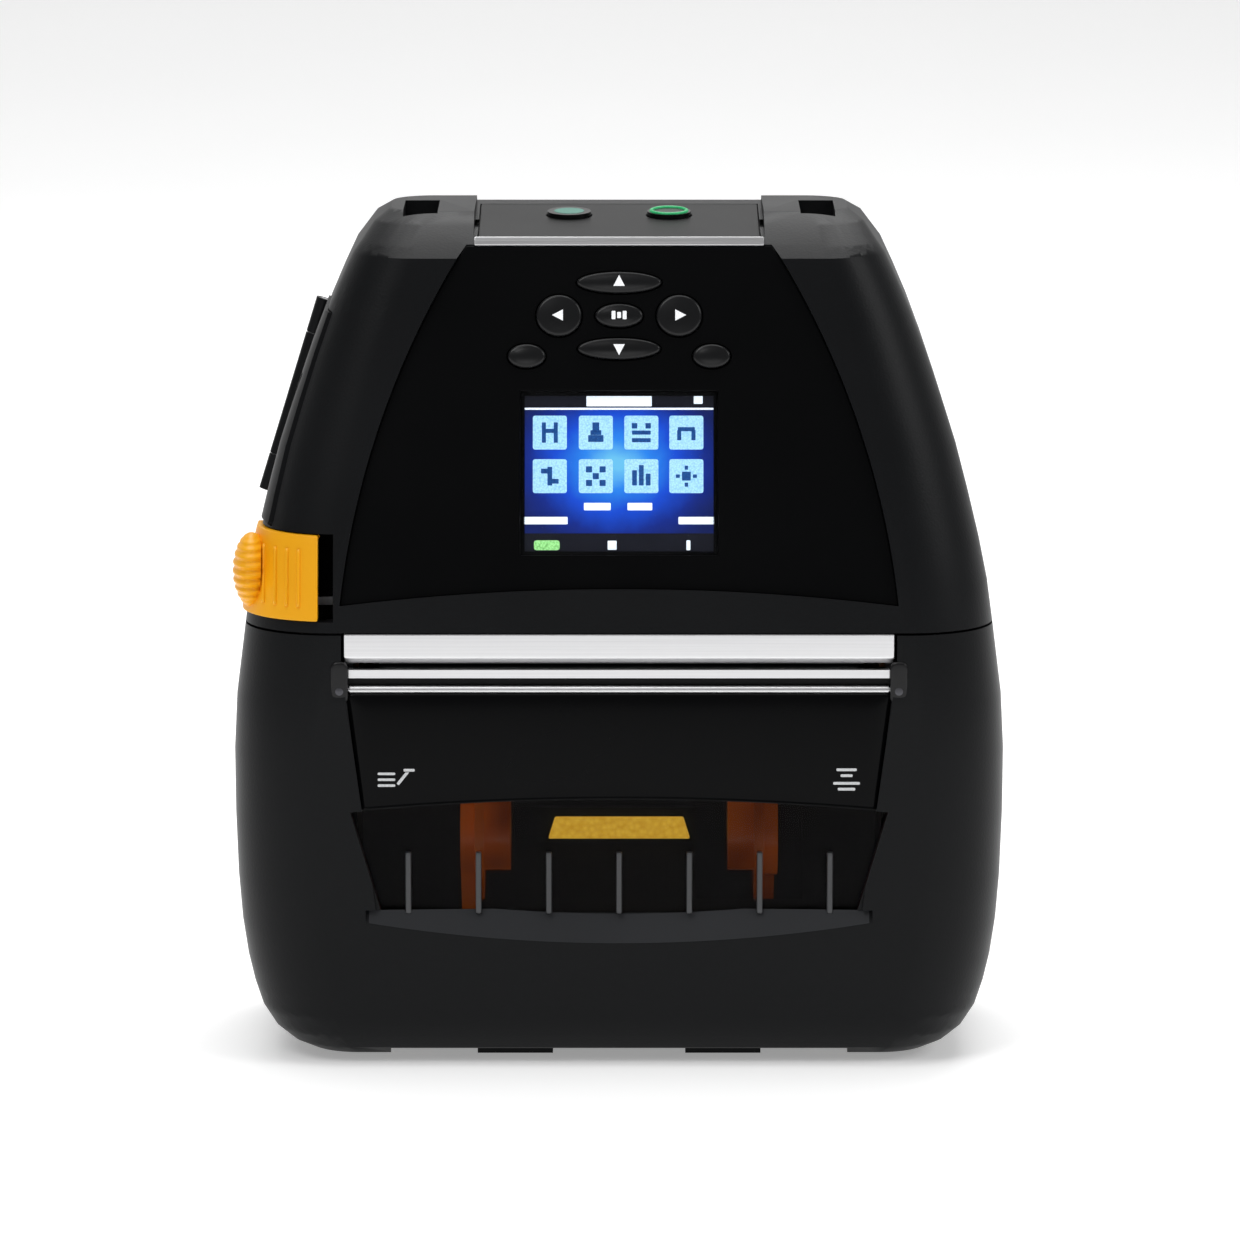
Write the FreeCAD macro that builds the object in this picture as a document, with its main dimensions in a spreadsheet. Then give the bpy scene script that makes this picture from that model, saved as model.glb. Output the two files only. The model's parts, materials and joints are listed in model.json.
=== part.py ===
import FreeCAD, Part
import math
import os
import re

import Sketcher

# A mobile label maker, standing on its lower edge. +Z is up, the front faces -Y and +X is to the right of
# someone facing it. The origin is on the surface it stands on, under the middle of its overall box.

# ---------------------------------------------------------------- driving dimensions, in mm and degrees
SIZES = [
    ("half_width", 84, "half of the casing's greatest width"),
    ("body_front", 42, "from the middle plane to the front face"),
    ("body_back", 34.2, "from the middle plane to the back face"),
    ("body_height", 183.4, "top of the strap posts"),
    ("seam_height", 96, "parting line between media cover and upper housing"),
    ("seam_gap", 0.5, "gap at that line"),
    ("wall", 3, "casing wall"),
    ("floor_thick", 6, "casing floor"),
    ("belly_rise", 2.8, "how far the floor stands up between the feet"),
    ("belly_half", 50, "half of the span between the feet"),
    ("front_round", 19, "upright front corners"),
    ("back_round", 12, "upright back corners"),
    ("cover_back", -18, "rear edge of the media cover, behind the middle plane"),
    ("tilt", 14, "lean of the control panel from upright"),
    ("panel_front", 39.6, "panel face in front of the middle plane at its lower end"),
    ("panel_foot", 100, "height of the panel's lower end"),
    ("panel_thick", 1.6, "control panel plate"),
    ("panel_bed", 2, "housing wall under the plate"),
    ("panel_low_half", 60.3, "half width of the panel at its lower end"),
    ("panel_high_half", 32.8, "half width at its upper end"),
    ("panel_length", 80.8, "length up the slope"),
    ("panel_bow", 185, "radius of its curved sides"),
    ("panel_arch", 493, "radius of its arched lower edge"),
    ("key_proud", 1.2, "how far a key stands above the panel"),
    ("hinge_height", 16, "cover hinge above the surface, and radius of the casing's toe"),
    ("hinge_pin_radius", 2, "cover hinge pin"),
    ("running", 0.05, "radial clearance of a shaft in its bore"),
    ("bay_radius", 34.2, "media bay"),
    ("bay_back", -5.5, "bay axis, behind the middle plane"),
    ("bay_height", 45, "bay axis above the surface"),
    ("tub_wall", 1.7, "sheet of the media bay"),
    ("bay_half", 58, "half of the bay's length"),
    ("band_half", 59.2, "half width of the cover's front band"),
    ("window_front", -39, "front face of the cover window"),
    ("window_thick", 1.8, "cover window"),
    ("sill_height", 34.1, "lower edge of the window opening"),
    ("window_top", 59.5, "lower edge of the band at its middle"),
    ("platen_back", -30, "platen axis, behind the middle plane"),
    ("platen_height", 82, "platen axis above the surface"),
    ("platen_radius", 6, "platen rubber"),
    ("shaft_radius", 2, "platen shaft"),
    ("paper_gap", 0.15, "between the platen and the print head"),
    ("label_half", 52, "half of the print width"),
    ("frame_front", 37.4, "print frame's front, in front of the middle plane"),
    ("frame_half", 57.6, "inner side of the print frame's side plates"),
    ("head_back", 16, "pivot of the print head, in front of the middle plane"),
    ("head_pivot_height", 93, "that pivot above the surface"),
    ("motor_radius", 8.6, "motor"),
    ("motor_end", 37, "inner end of the motor"),
    ("gear_module", 0.7, "drive train"),
    ("gear_inner", 60.5, "inner side of the drive gears"),
    ("gear_face", 4, "face width of the drive gears"),
    ("platen_teeth", 20, "gear on the platen"),
    ("idler_teeth", 24, "idler gear"),
    ("pinion_teeth", 12, "motor pinion, and the pinion of the label guides"),
    ("pinion_rise", 38, "direction of the motor from the idler, above level"),
    ("rack_module", 0.8, "label guide racks and pinion"),
    ("rack_back", 22, "axis of the guide pinion, behind the middle plane"),
    ("rack_low", 9.5, "underside of the racks"),
    ("rack_high", 12.5, "upper side of the racks"),
    ("arm_inner", 32, "inner face of each label guide arm"),
    ("arm_thick", 3, "label guide arm"),
    ("axle_radius", 3, "axle of a label guide disc"),
    ("disc_radius", 15, "label guide disc"),
    ("hub_radius", 8.5, "hub that enters the roll's core"),
    ("screen_half", 21.4, "half width of the display window"),
    ("screen_low", 12.7, "lower edge of the display window up the panel"),
    ("screen_high", 48.4, "upper edge"),
    ("battery_half", 40, "half width of the battery"),
    ("battery_low", 103.4, "lower end of the battery"),
    ("battery_high", 162.6, "upper end"),
    ("battery_thick", 14.6, "battery"),
    ("strap_inner", 39.6, "strap slot, inner side"),
    ("strap_outer", 47.2, "strap slot, outer side"),
    ("strap_front", -7, "strap slot, front end"),
    ("strap_rear", 14.5, "strap slot, rear end"),
    ("strap_depth", 12, "strap slot"),
    ("button_spread", 11, "each top button from the middle"),
    ("button_back", 29.4, "top buttons, back from the panel's upper end"),
    ("button_radius", 4.8, "top buttons"),
    ("strap_bar_radius", 1.6, "steel bar in the strap slot"),
    ("channel_half", 31.6, "half width of the sunk strip between the strap posts"),
    ("top_slope", 4.3, "slope of that strip"),
    ("door_low", 118.4, "lower edge of the port door"),
    ("door_high", 163, "upper edge"),
    ("door_front", -27, "front edge of the port door"),
    ("door_rear", 11, "hinge edge of the port door"),
    ("latch_low", 98.6, "lower edge of the latch button"),
    ("latch_high", 116.6, "upper edge"),
    ("latch_inner", -65, "inner edge of the latch button"),
    ("latch_travel", 3, "travel of the latch button"),
    ("latch_proud", 1.1, "how far the latch button stands out of the casing"),
    ("rail_height", 98.6, "underside of the latch bar"),
    ("rail_back", 17, "rear side of the latch bar, in front of the middle plane"),
    ("rail_reach", 72, "half length of the latch bar"),
    ("door_proud", 0.6, "how far the port door stands out of the casing"),
    ("clip_gap", 4.8, "belt gap behind the casing"),
    ("clip_thick", 3, "belt clip tongue"),
    ("clip_half", 13, "half width of the tongue"),
    ("clip_pivot", 90, "height of the belt clip's pin"),
    ("peel_height", 83.4, "peel roller above the surface"),
    ("peel_back", -39.9, "peel roller, behind the middle plane"),
    ("peel_radius", 0.95, "peel roller"),
    ("guide_out", 6, "travel away from it"),
]

# Casing outline at several heights: (height, how far inside the greatest half width it lies).
LOWER_ROWS = [
    ("0", 21),
    ("1.2", 16),
    ("3.2", 12.2),
    ("6.5", 8.6),
    ("11", 5.8),
    ("hinge_height", 4),
]
for height, taken in ((22, 2.6), (30, 1.4), (40, 0.6), (54, 0.1), (68, 0), (80, 0.6), (96, 2.6)):
    LOWER_ROWS.append((f"{height} / 96 * seam_height", taken))  # drawn for a seam at 96
SEAM_ROW = LOWER_ROWS[-1][0]
UPPER_RISE = "(body_height - seam_height) / 87.4"  # those rows were drawn for a rise of 87.4
TOE_ROWS = 5  # the first rows follow the round toe
HEEL_LIFTS = [8, 5.5, 3.4, 1.6, 0.5]  # the same rows at the rear: how far they stay inside the back face
# Rounded top of the upper housing: (below the top, inside the half width, back from the front, in at the back)
CROWN_ROWS = [(6, 27.8, 3, 1.5), (2.4, 30.4, 9, 5), (0, 34, 16, 10)]
# The same for the upper housing, with its height measured up from the seam
UPPER_ROWS = [
    ("0", 2.6),
    ("9", 3.8),
    ("18", 5.6),
    ("28", 8),
    ("38", 10.6),
    ("48", 13.8),
    ("58", 17.2),
    ("66", 20.2),
]
UPPER_ROWS += [("73", 23.2), ("79", 26)]
BUMPER_PROUD = 1.4  # the side bumpers stand this far in front of the panel
TOE = "-(body_front - hinge_height) - sqrt(hinge_height ^ 2 - (hinge_height - ({0})) ^ 2)"

NAMES = {alias for alias, value, note in SIZES}
AXES = {"x": FreeCAD.Vector(1, 0, 0), "y": FreeCAD.Vector(0, 1, 0), "z": FreeCAD.Vector(0, 0, 1)}
TURNS = {"x": (AXES["y"], 90), "y": (AXES["x"], -90), "z": (AXES["z"], 0)}
CYCLE = (FreeCAD.Vector(1, 1, 1), 120)  # carries X to Y, Y to Z and Z to X
NODES = []

doc = FreeCAD.newDocument("LabelMaker")
sheet = doc.addObject("Spreadsheet::Sheet", "Dims")
for row, (alias, value, note) in enumerate(SIZES, start=1):
    sheet.set(f"A{row}", note)
    sheet.set(f"B{row}", str(value))
    sheet.setAlias(f"B{row}", alias)
doc.recompute()


# ---------------------------------------------------------------- helpers
def bound(text):
    """The expression with each cell name led by the sheet's name."""
    return re.sub(r"[a-z_]+[a-z_0-9]*", lambda m: "Dims." + m[0] if m[0] in NAMES else m[0], str(text))


def number(text):
    """The value that an expression has now."""
    return float(sheet.evalExpression(str(text)))


def put(piece, at):
    """Binds a piece's position to three expressions."""
    for axis, text in zip("xyz", at):
        piece.setExpression("Placement.Base." + axis, bound(text))
    return piece


def block(name, x, y, z):
    """A box from three (low, high) pairs of expressions."""
    piece = doc.addObject("Part::Box", name)
    for side, (low, high) in zip(("Length", "Width", "Height"), (x, y, z)):
        piece.setExpression(side, bound(f"({high}) - ({low})"))
    return put(piece, (x[0], y[0], z[0]))


def rod(name, axis, at, radius, length):
    """A cylinder along an axis, from the point at."""
    piece = doc.addObject("Part::Cylinder", name)
    piece.setExpression("Radius", bound(radius))
    piece.setExpression("Height", bound(length))
    piece.Placement.Rotation = FreeCAD.Rotation(*TURNS[axis])
    return put(piece, at)


def taper(name, axis, at, low_radius, high_radius, length):
    """A cone along an axis, from the point at."""
    piece = doc.addObject("Part::Cone", name)
    piece.setExpression("Radius1", bound(low_radius))
    piece.setExpression("Radius2", bound(high_radius))
    piece.setExpression("Height", bound(length))
    piece.Placement.Rotation = FreeCAD.Rotation(*TURNS[axis])
    return put(piece, at)


def fuse(name, *pieces):
    whole = doc.addObject("Part::MultiFuse", name)
    whole.Shapes = list(pieces)
    return whole


def cut(name, base, *tools):
    rest = doc.addObject("Part::Cut", name)
    rest.Base = base
    rest.Tool = tools[0] if len(tools) == 1 else fuse(name + "_tools", *tools)
    return rest


def common(name, *pieces):
    shared = doc.addObject("Part::MultiCommon", name)
    shared.Shapes = list(pieces)
    return shared


def arc_between(start, end, radius):
    """The arc of a sketch's edge: it bulges outwards for a positive radius, on a loop drawn anticlockwise."""
    middle = (start + end) / 2
    chord = end - start
    rise = math.sqrt(max(radius**2 - (chord.Length / 2) ** 2, 0))
    left = FreeCAD.Vector(-chord.y, chord.x, 0).normalize()
    centre = middle + left * (rise if radius > 0 else -rise)
    (first, last) = (start, end) if radius > 0 else (end, start)
    angles = [math.atan2(p.y - centre.y, p.x - centre.x) for p in (first, last)]
    circle = Part.Circle(centre, AXES["z"], abs(radius))
    return Part.ArcOfCircle(circle, angles[0], angles[1] + (2 * math.pi if angles[1] < angles[0] else 0))


def outline(name, points, bows=None):
    """A closed sketch through points, anticlockwise; bows holds edge radii. Sizes are bound to cells."""
    bows = bows or {}
    sketch = doc.addObject("Sketcher::SketchObject", name)
    corners = [FreeCAD.Vector(number(u), number(v), 0) for u, v in points]
    for i, start in enumerate(corners):
        end = corners[(i + 1) % len(corners)]
        sketch.addGeometry(
            arc_between(start, end, number(bows[i])) if i in bows else Part.LineSegment(start, end)
        )
    turned = {i for i in bows if number(bows[i]) < 0}
    for i, (u, v) in enumerate(points):
        first = 2 if i in turned else 1
        before = (i - 1) % len(points)
        sketch.addConstraint(
            Sketcher.Constraint("Coincident", before, 1 if before in turned else 2, i, first)
        )
        for kind, text, now in (("DistanceX", u, corners[i].x), ("DistanceY", v, corners[i].y)):
            which = sketch.addConstraint(Sketcher.Constraint(kind, -1, 1, i, first, now))
            sketch.setExpression(f"Constraints[{which}]", bound(text))
    for i, radius in bows.items():
        which = sketch.addConstraint(Sketcher.Constraint("Radius", i, abs(number(radius))))
        sketch.setExpression(f"Constraints[{which}]", bound(f"abs({radius})"))
    return sketch


def prism(name, plane, points, low, high, bows=None):
    """An outline drawn in the xy, xz or yz plane and carried from low to high along the third axis."""
    sketch = outline(name + "_outline", points, bows)
    if plane == "xz":
        sketch.Placement.Rotation = FreeCAD.Rotation(AXES["x"], 90)
        put(sketch, ("0", high, "0"))
    elif plane == "yz":
        sketch.Placement.Rotation = FreeCAD.Rotation(*CYCLE)
        put(sketch, (low, "0", "0"))
    else:
        put(sketch, ("0", "0", low))
    solid = doc.addObject("Part::Extrusion", name)
    solid.Base = sketch
    solid.DirMode = "Normal"
    solid.Solid = True
    solid.setExpression("LengthFwd", bound(f"({high}) - ({low})"))
    return solid


def oval(name, at, half_u, half_v, low, high):
    """An elliptical column along Z."""
    ring = doc.addObject("Part::Ellipse", name + "_rim")
    ring.setExpression("MajorRadius", bound(half_u))
    ring.setExpression("MinorRadius", bound(half_v))
    put(ring, (*at, low))
    solid = doc.addObject("Part::Extrusion", name)
    solid.Base = ring
    solid.DirMode = "Normal"
    solid.Solid = True
    solid.setExpression("LengthFwd", bound(f"({high}) - ({low})"))
    return solid


def soften(name, base, radius, chosen):
    """Rounds the edges for which chosen(edge) holds."""
    doc.recompute()
    found = [(i, radius, radius) for i, edge in enumerate(base.Shape.Edges, start=1) if chosen(edge)]
    rounded = doc.addObject("Part::Fillet", name)
    rounded.Base = base
    rounded.Edges = found
    return rounded


def at_level(axis, text):
    """Picks the edges that lie in a plane across an axis."""
    level = number(text)

    def chosen(edge):
        box = edge.BoundBox
        low, high = getattr(box, axis.upper() + "Min"), getattr(box, axis.upper() + "Max")
        return abs(low - level) < 1e-3 and abs(high - level) < 1e-3

    return chosen


def node(label, piece, frame=None):
    """Names a finished sub-part, and stands one drawn flat in its leaning frame."""
    piece = lean(piece, frame)
    piece.Label = label
    NODES.append(piece)
    return piece


def lean(piece, frame):
    """Frame panel: X right, Y up the panel, Z out. Frame top: X right, Y back, Z out of the top strip."""
    if frame and piece.TypeId == "Part::Box":
        inner = piece
        piece = doc.addObject("Part::Compound", inner.Name + "_stood")
        piece.Links = [inner]
    if frame == "panel":
        piece.Placement.Rotation = FreeCAD.Rotation(AXES["x"], 90 - number("tilt"))
        piece.setExpression("Placement.Rotation.Angle", bound("90 - tilt"))
        put(piece, ("0", "-panel_front", "panel_foot"))
    if frame == "top":
        piece.Placement.Rotation = FreeCAD.Rotation(AXES["x"], number("top_slope"))
        piece.setExpression("Placement.Rotation.Angle", bound("top_slope"))
        put(piece, ("0", TOP_FRONT, TOP_FOOT))
    return piece


def ring(name, height, half, front, back, front_round, back_round):
    """One level section of the casing."""
    points = [
        (f"-({half}) + {front_round}", front),
        (f"({half}) - {front_round}", front),
        (half, f"({front}) + {front_round}"),
        (half, f"({back}) - {back_round}"),
        (f"({half}) - {back_round}", back),
        (f"-({half}) + {back_round}", back),
        (f"-({half})", f"({back}) - {back_round}"),
        (f"-({half})", f"({front}) + {front_round}"),
    ]
    sketch = outline(name, points, {1: front_round, 3: back_round, 5: back_round, 7: front_round})
    return put(sketch, ("0", "0", height))


def skin(name, sections):
    solid = doc.addObject("Part::Loft", name)
    solid.Sections = sections
    solid.Solid = True
    solid.Ruled = True
    return solid


def lower_casing(name, inset="0"):
    """The casing below the seam, taken in by inset; inside, it starts at the floor."""
    hollow = number(inset) > 0
    sections = []
    for i, (height, taken) in enumerate(LOWER_ROWS):
        if hollow and i < 3:
            continue
        level = "floor_thick" if hollow and i == 3 else height
        if hollow and height == SEAM_ROW:
            level = "seam_height + 1"
        toe = i < TOE_ROWS
        front = TOE.format(level) if toe else "-body_front"
        if height == SEAM_ROW:
            front = "-body_front + 1"
        lift = HEEL_LIFTS[i] if toe else 0
        tight = 2 * (TOE_ROWS - i) if toe else 0
        sections.append(
            ring(
                f"{name}_{i}",
                level,
                f"half_width - {taken} - ({inset})",
                f"{front} + ({inset})",
                f"body_back - {lift} - ({inset})",
                f"(front_round - {tight} - ({inset}))",
                f"(back_round - {tight / 2} - ({inset}))",
            )
        )
    return skin(name, sections)


PANEL_LINE = "-panel_front - {0} + tan(tilt) * (({1}) - panel_foot)"
TOP_FRONT = "-panel_front + (panel_length + 0.2) * sin(tilt)"
TOP_FOOT = "panel_foot + (panel_length + 0.2) * cos(tilt)"


def upper_casing(name, inset="0"):
    """The casing above the seam, taken in by inset; inside, it starts below the seam."""
    sections = []
    for i, (rise, taken) in enumerate(UPPER_ROWS):
        level = f"seam_height + {rise} * {UPPER_RISE}"
        front = PANEL_LINE.format(f"({BUMPER_PROUD} - ({inset}))", level)
        if i == 0:
            level = "seam_height - 1" if number(inset) > 0 else "seam_height"
            front = f"-body_front + 1 + ({inset})"
        sections.append(
            ring(
                f"{name}_{i}",
                level,
                f"half_width - {taken} - ({inset})",
                front,
                f"body_back - ({inset})",
                f"(front_round - {0.6 * i:.1f} - ({inset}))",
                f"(back_round - ({inset}))",
            )
        )
    for i, (drop, taken, front, back) in enumerate(CROWN_ROWS):
        sections.append(
            ring(
                f"{name}_top_{i}",
                f"body_height - {drop} - ({inset})",
                f"half_width - {taken} - ({inset})",
                PANEL_LINE.format(f"({BUMPER_PROUD - front:.1f} - ({inset}))", "body_height - 7"),
                f"body_back - {back} - ({inset})",
                f"(front_round - {7 + i} - ({inset}) / 2)",
                f"(back_round - {i + 1} - ({inset}) / 2)",
            )
        )
    return skin(name, sections)


def both(name, make):
    """The same small piece on the right (side 1) and on the left (side -1)."""
    return fuse(name, make(name + "_right", 1), make(name + "_left", -1))


def span(side, low, high):
    """An x range on the chosen side."""
    return (low, high) if side > 0 else (f"-({high})", f"-({low})")


def toothed(name, plane, teeth, module, radius_back, phase, low, high, at):
    """A gear: straight-flanked teeth, thinner than half their pitch so that they run with play."""
    count = int(number(teeth))
    size = number(module)
    pitch_radius = count * size / 2
    step = 360 / count
    corners = []
    for i in range(count):
        for lead, grow in ((-0.27, -1.1), (-0.09, 0.7), (0.09, 0.7), (0.27, -1.1)):
            angle = math.radians(phase + (i + lead) * step)
            reach = pitch_radius + grow * size
            corners.append(FreeCAD.Vector(reach * math.cos(angle), reach * math.sin(angle), 0))
    rim = Part.Wire(Part.makePolygon(corners + corners[:1]).Edges)
    width = number(high) - number(low)
    solid = Part.Face(rim).extrude(FreeCAD.Vector(0, 0, width))
    solid = solid.cut(Part.makeCylinder(number(radius_back), width))
    piece = doc.addObject("Part::Feature", name)
    piece.Shape = solid
    if plane == "yz":
        piece.Placement.Rotation = FreeCAD.Rotation(*CYCLE)
        return put(piece, (low, *at))
    return put(piece, (*at, low))


def rack(name, start, end, facing):
    """A toothed bar along X. Its teeth point to the guide pinion; they sit half a pitch off the middle."""
    size = number("rack_module")
    pitch = math.pi * size
    line = number("pinion_teeth") * size / 2
    back = line + 1.1 * size + 2.4
    low, high = number(start), number(end)
    corners = [(low, back), (high, back), (high, line + 1.1 * size)]
    centre = (math.floor(high / pitch) - 0.5) * pitch
    while centre - 0.3 * pitch > low:
        for lead, reach in ((0.29, 1.1), (0.11, -0.7), (-0.11, -0.7), (-0.29, 1.1)):
            corners.append((centre + lead * pitch, line + reach * size))
        centre -= pitch
    corners.append((low, line + 1.1 * size))
    wire = Part.makePolygon([FreeCAD.Vector(x, facing * y, 0) for x, y in corners + corners[:1]])
    piece = doc.addObject("Part::Feature", name)
    piece.Shape = Part.Face(wire).extrude(FreeCAD.Vector(0, 0, number("rack_high - rack_low")))
    return put(piece, ("0", "rack_back", "rack_low"))


# ---------------------------------------------------------------- casing: media cover and rear housing
upper_spots = [("-58", "104"), ("58", "104"), ("-49", "170"), ("49", "170")]
lower_spots = [("-66", "20"), ("66", "20"), ("-68", "80"), ("68", "80")]


def screw_holes(name, spots):
    """Shank bores, with a well for each head."""
    pieces = []
    for i, (x, z) in enumerate(spots):
        pieces.append(rod(f"{name}_bore_{i}", "y", (x, "body_back - 10.2", z), "1.4", "9"))
        pieces.append(rod(f"{name}_well_{i}", "y", (x, "body_back - 1.8", z), "3", "4"))
    return fuse(name, *pieces)


def screw_bosses(name, spots):
    return [rod(f"{name}_{i}", "y", (x, "body_back - 12", z), "4", "10") for i, (x, z) in enumerate(spots)]


HINGE_Y = "-(body_front - hinge_height)"
WIDE = ("-half_width - 5", "half_width + 5")
belly = block(
    "belly", ("-belly_half", "belly_half"), ("-body_front - 5", "body_back + 5"), ("-1", "belly_rise")
)


def toe_drum(name, radius):
    """Round the cover hinge: what turns with the cover below the hinge height."""
    return rod(name, "x", (WIDE[0], HINGE_Y, "hinge_height"), radius, "2 * half_width + 10")


front_zone = fuse(
    "front_zone",
    block(
        "front_slab", WIDE, ("-body_front - 5", "cover_back"), ("hinge_height", "seam_height - seam_gap")
    ),
    common(
        "toe_zone",
        toe_drum("toe_zone_drum", "hinge_height + 0.5"),
        block("toe_zone_box", WIDE, ("-body_front - 5", "0"), ("-5", "2 * hinge_height + 5")),
    ),
)
cover_shell = common(
    "cover_shell",
    cut("cover_walls", lower_casing("cover_outer"), lower_casing("cover_inner", "wall")),
    front_zone,
)
throat = block(
    "throat", ("-60", "60"), ("-body_front - 5", "cover_back"), ("seam_height - 13.8", "seam_height + 5")
)

window_hole = prism(
    "window_hole",
    "xz",
    [
        ("-51.5", "sill_height"),
        ("51.5", "sill_height"),
        ("58.2", "window_top - 2.7"),
        ("-58.2", "window_top - 2.7"),
    ],
    "-body_front - 5",
    "-body_front + wall + 1",
    {2: "627"},
)
band_recess = prism(
    "band_recess",
    "xz",
    [("-52.6", "sill_height"), ("52.6", "sill_height"), ("band_half", "83"), ("-band_half", "83")],
    "-body_front - 5",
    "-body_front + 0.9",
)
lip_cone = taper("lip_cone", "y", ("0", "-body_front - 1", "sill_height + 327"), "335.8", "326.8", "4.1")
lip_box = block(
    "lip_box",
    ("-55", "55"),
    ("-body_front - 2", "-body_front + 3.05"),
    ("sill_height - 8", "sill_height + 1"),
)
lip = common("lip", lip_cone, lip_box)


def arm_slot(name, side):
    return block(name, span(side, "39.5", "50.5"), (HINGE_Y + " - 4", "0"), ("-1", "hinge_height - 5.5"))


def knuckle(name, side):
    barrel = rod(name + "_barrel", "x", (span(side, "51", "57.5")[0], HINGE_Y, "hinge_height"), "5", "6.5")
    web = block(
        name + "_web", span(side, "51", "57.5"), (HINGE_Y + " - 5", HINGE_Y + " + 5"), ("4", "hinge_height")
    )
    return fuse(name, barrel, web)


def pad(name, side):
    return block(
        name,
        span(side, "14.5", "31"),
        (HINGE_Y + " - 5", HINGE_Y + " + 4"),
        ("belly_rise - 2", "belly_rise + 1"),
    )


def catch(name, side):
    return block(
        name, span(side, "66", "half_width - 3"), ("cover_back - 4", "cover_back - 1"), ("84", "88")
    )


cover_pin_bore = rod(
    "cover_pin_bore", "x", ("-59", HINGE_Y, "hinge_height"), "hinge_pin_radius + running", "118"
)
cover_body = fuse(
    "cover_body",
    cut(
        "cover_cut", cover_shell, throat, window_hole, band_recess, lip, belly, both("arm_slots", arm_slot)
    ),
    both("knuckles", knuckle),
    both("pads", pad),
    both("catches", catch),
)
node("media_cover", cut("cover_bored", cover_body, cover_pin_bore))

rib_spots = ["0", "15.3", "30.4", "45.8", "-15.3", "-30.4", "-45.8"]
ribs = [
    block(
        f"rib_{i}",
        (f"{x} - 0.6", f"{x} + 0.6"),
        ("window_front - 1.6", "window_front + 0.5"),
        ("sill_height", "sill_height + 13.2"),
    )
    for i, x in enumerate(rib_spots)
]
pane = block(
    "pane",
    ("-61", "61"),
    ("window_front", "window_front + window_thick"),
    ("sill_height - 3", "window_top + 3"),
)
node("cover_window", fuse("window_ribbed", pane, *ribs))

rear_zone = cut(
    "rear_zone",
    block("rear_slab", WIDE, ("cover_back - 12", "body_back + 5"), ("-5", "seam_height")),
    block(
        "rear_front_cut",
        WIDE,
        ("cover_back - 13", "cover_back + 0.5"),
        ("hinge_height - 0.5", "seam_height + 1"),
    ),
    toe_drum("rear_toe_drum", "hinge_height + 1"),
)
rear_shell = common(
    "rear_shell",
    cut("rear_walls", lower_casing("rear_outer"), lower_casing("rear_inner", "wall")),
    rear_zone,
)


def hinge_arm(name, side):
    x = span(side, "40", "50")
    reach = block(name + "_reach", x, (HINGE_Y, "-4"), ("hinge_height - 5", "hinge_height + 5"))
    eye = rod(name + "_eye", "x", (x[0], HINGE_Y, "hinge_height"), "5", "10")
    root = block(name + "_root", x, ("-9", "-4"), ("floor_thick - 1", "hinge_height"))
    return fuse(name, reach, eye, root)


def shelf(name, side):
    return block(name, span(side, "66", "half_width - 4"), ("0", "8"), ("88", "seam_height - 0.5"))


def clip_ear(name, side):
    x = span(side, "clip_half + 0.4", "clip_half + 5")
    reach = block(
        name + "_reach", x, ("body_back - 1", "body_back + 5.2"), ("clip_pivot - 4.5", "clip_pivot + 4.5")
    )
    eye = rod(name + "_eye", "x", (x[0], "body_back + 5.2", "clip_pivot"), "2.6", "4.6")
    return fuse(name, reach, eye)


def arm_bores(name, side):
    return rod(name, "x", (span(side, "39", "51")[0], HINGE_Y, "hinge_height"), "hinge_pin_radius", "12")


clip_bore = rod("clip_bore", "x", ("-20", "body_back + 5.2", "clip_pivot"), "1.2", "40")
rear_body = fuse(
    "rear_body",
    rear_shell,
    both("hinge_arms", hinge_arm),
    both("shelves", shelf),
    both("clip_ears", clip_ear),
    *screw_bosses("lower_boss", lower_spots),
    rod("guide_stud", "z", ("0", "rack_back", "floor_thick - 1"), "2", "rack_high - floor_thick + 2"),
)
node(
    "rear_housing",
    cut(
        "rear_bored",
        rear_body,
        belly,
        both("arm_bores", arm_bores),
        clip_bore,
        screw_holes("lower_holes", lower_spots),
    ),
)
node(
    "cover_hinge_pin",
    rod("hinge_pin", "x", ("-57.4", HINGE_Y, "hinge_height"), "hinge_pin_radius", "114.8"),
)

# ---------------------------------------------------------------- print mechanism
PLATEN = ("platen_back", "platen_height")
BAR_FRONT = "-body_front + 1"
bar_profile = [
    (BAR_FRONT, "seam_height - 5.4"),
    (BAR_FRONT + " + 1.4", "seam_height - 6.8"),
    ("-frame_front", "seam_height - 6.8"),
    ("-frame_front", "seam_height - 0.2"),
    (BAR_FRONT, "seam_height - 0.2"),
]
node("tear_bar", prism("tear_bar_body", "yz", bar_profile, "-frame_half - 1.8", "frame_half + 1.8"))

plate_profile = [
    ("-frame_front", "90"),
    ("-36", "86"),
    ("-26", "86"),
    ("-22", "79.5"),
    ("-2", "79.5"),
    ("8", "88"),
    ("8", "98"),
    ("-frame_front", "98"),
]


def side_plate(name, side):
    return prism(name, "yz", plate_profile, *span(side, "frame_half", "frame_half + 1.8"))


def ear(name, side):
    return block(name, span(side, "59", "73"), ("0", "8"), ("95.5", "97.5"))


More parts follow.
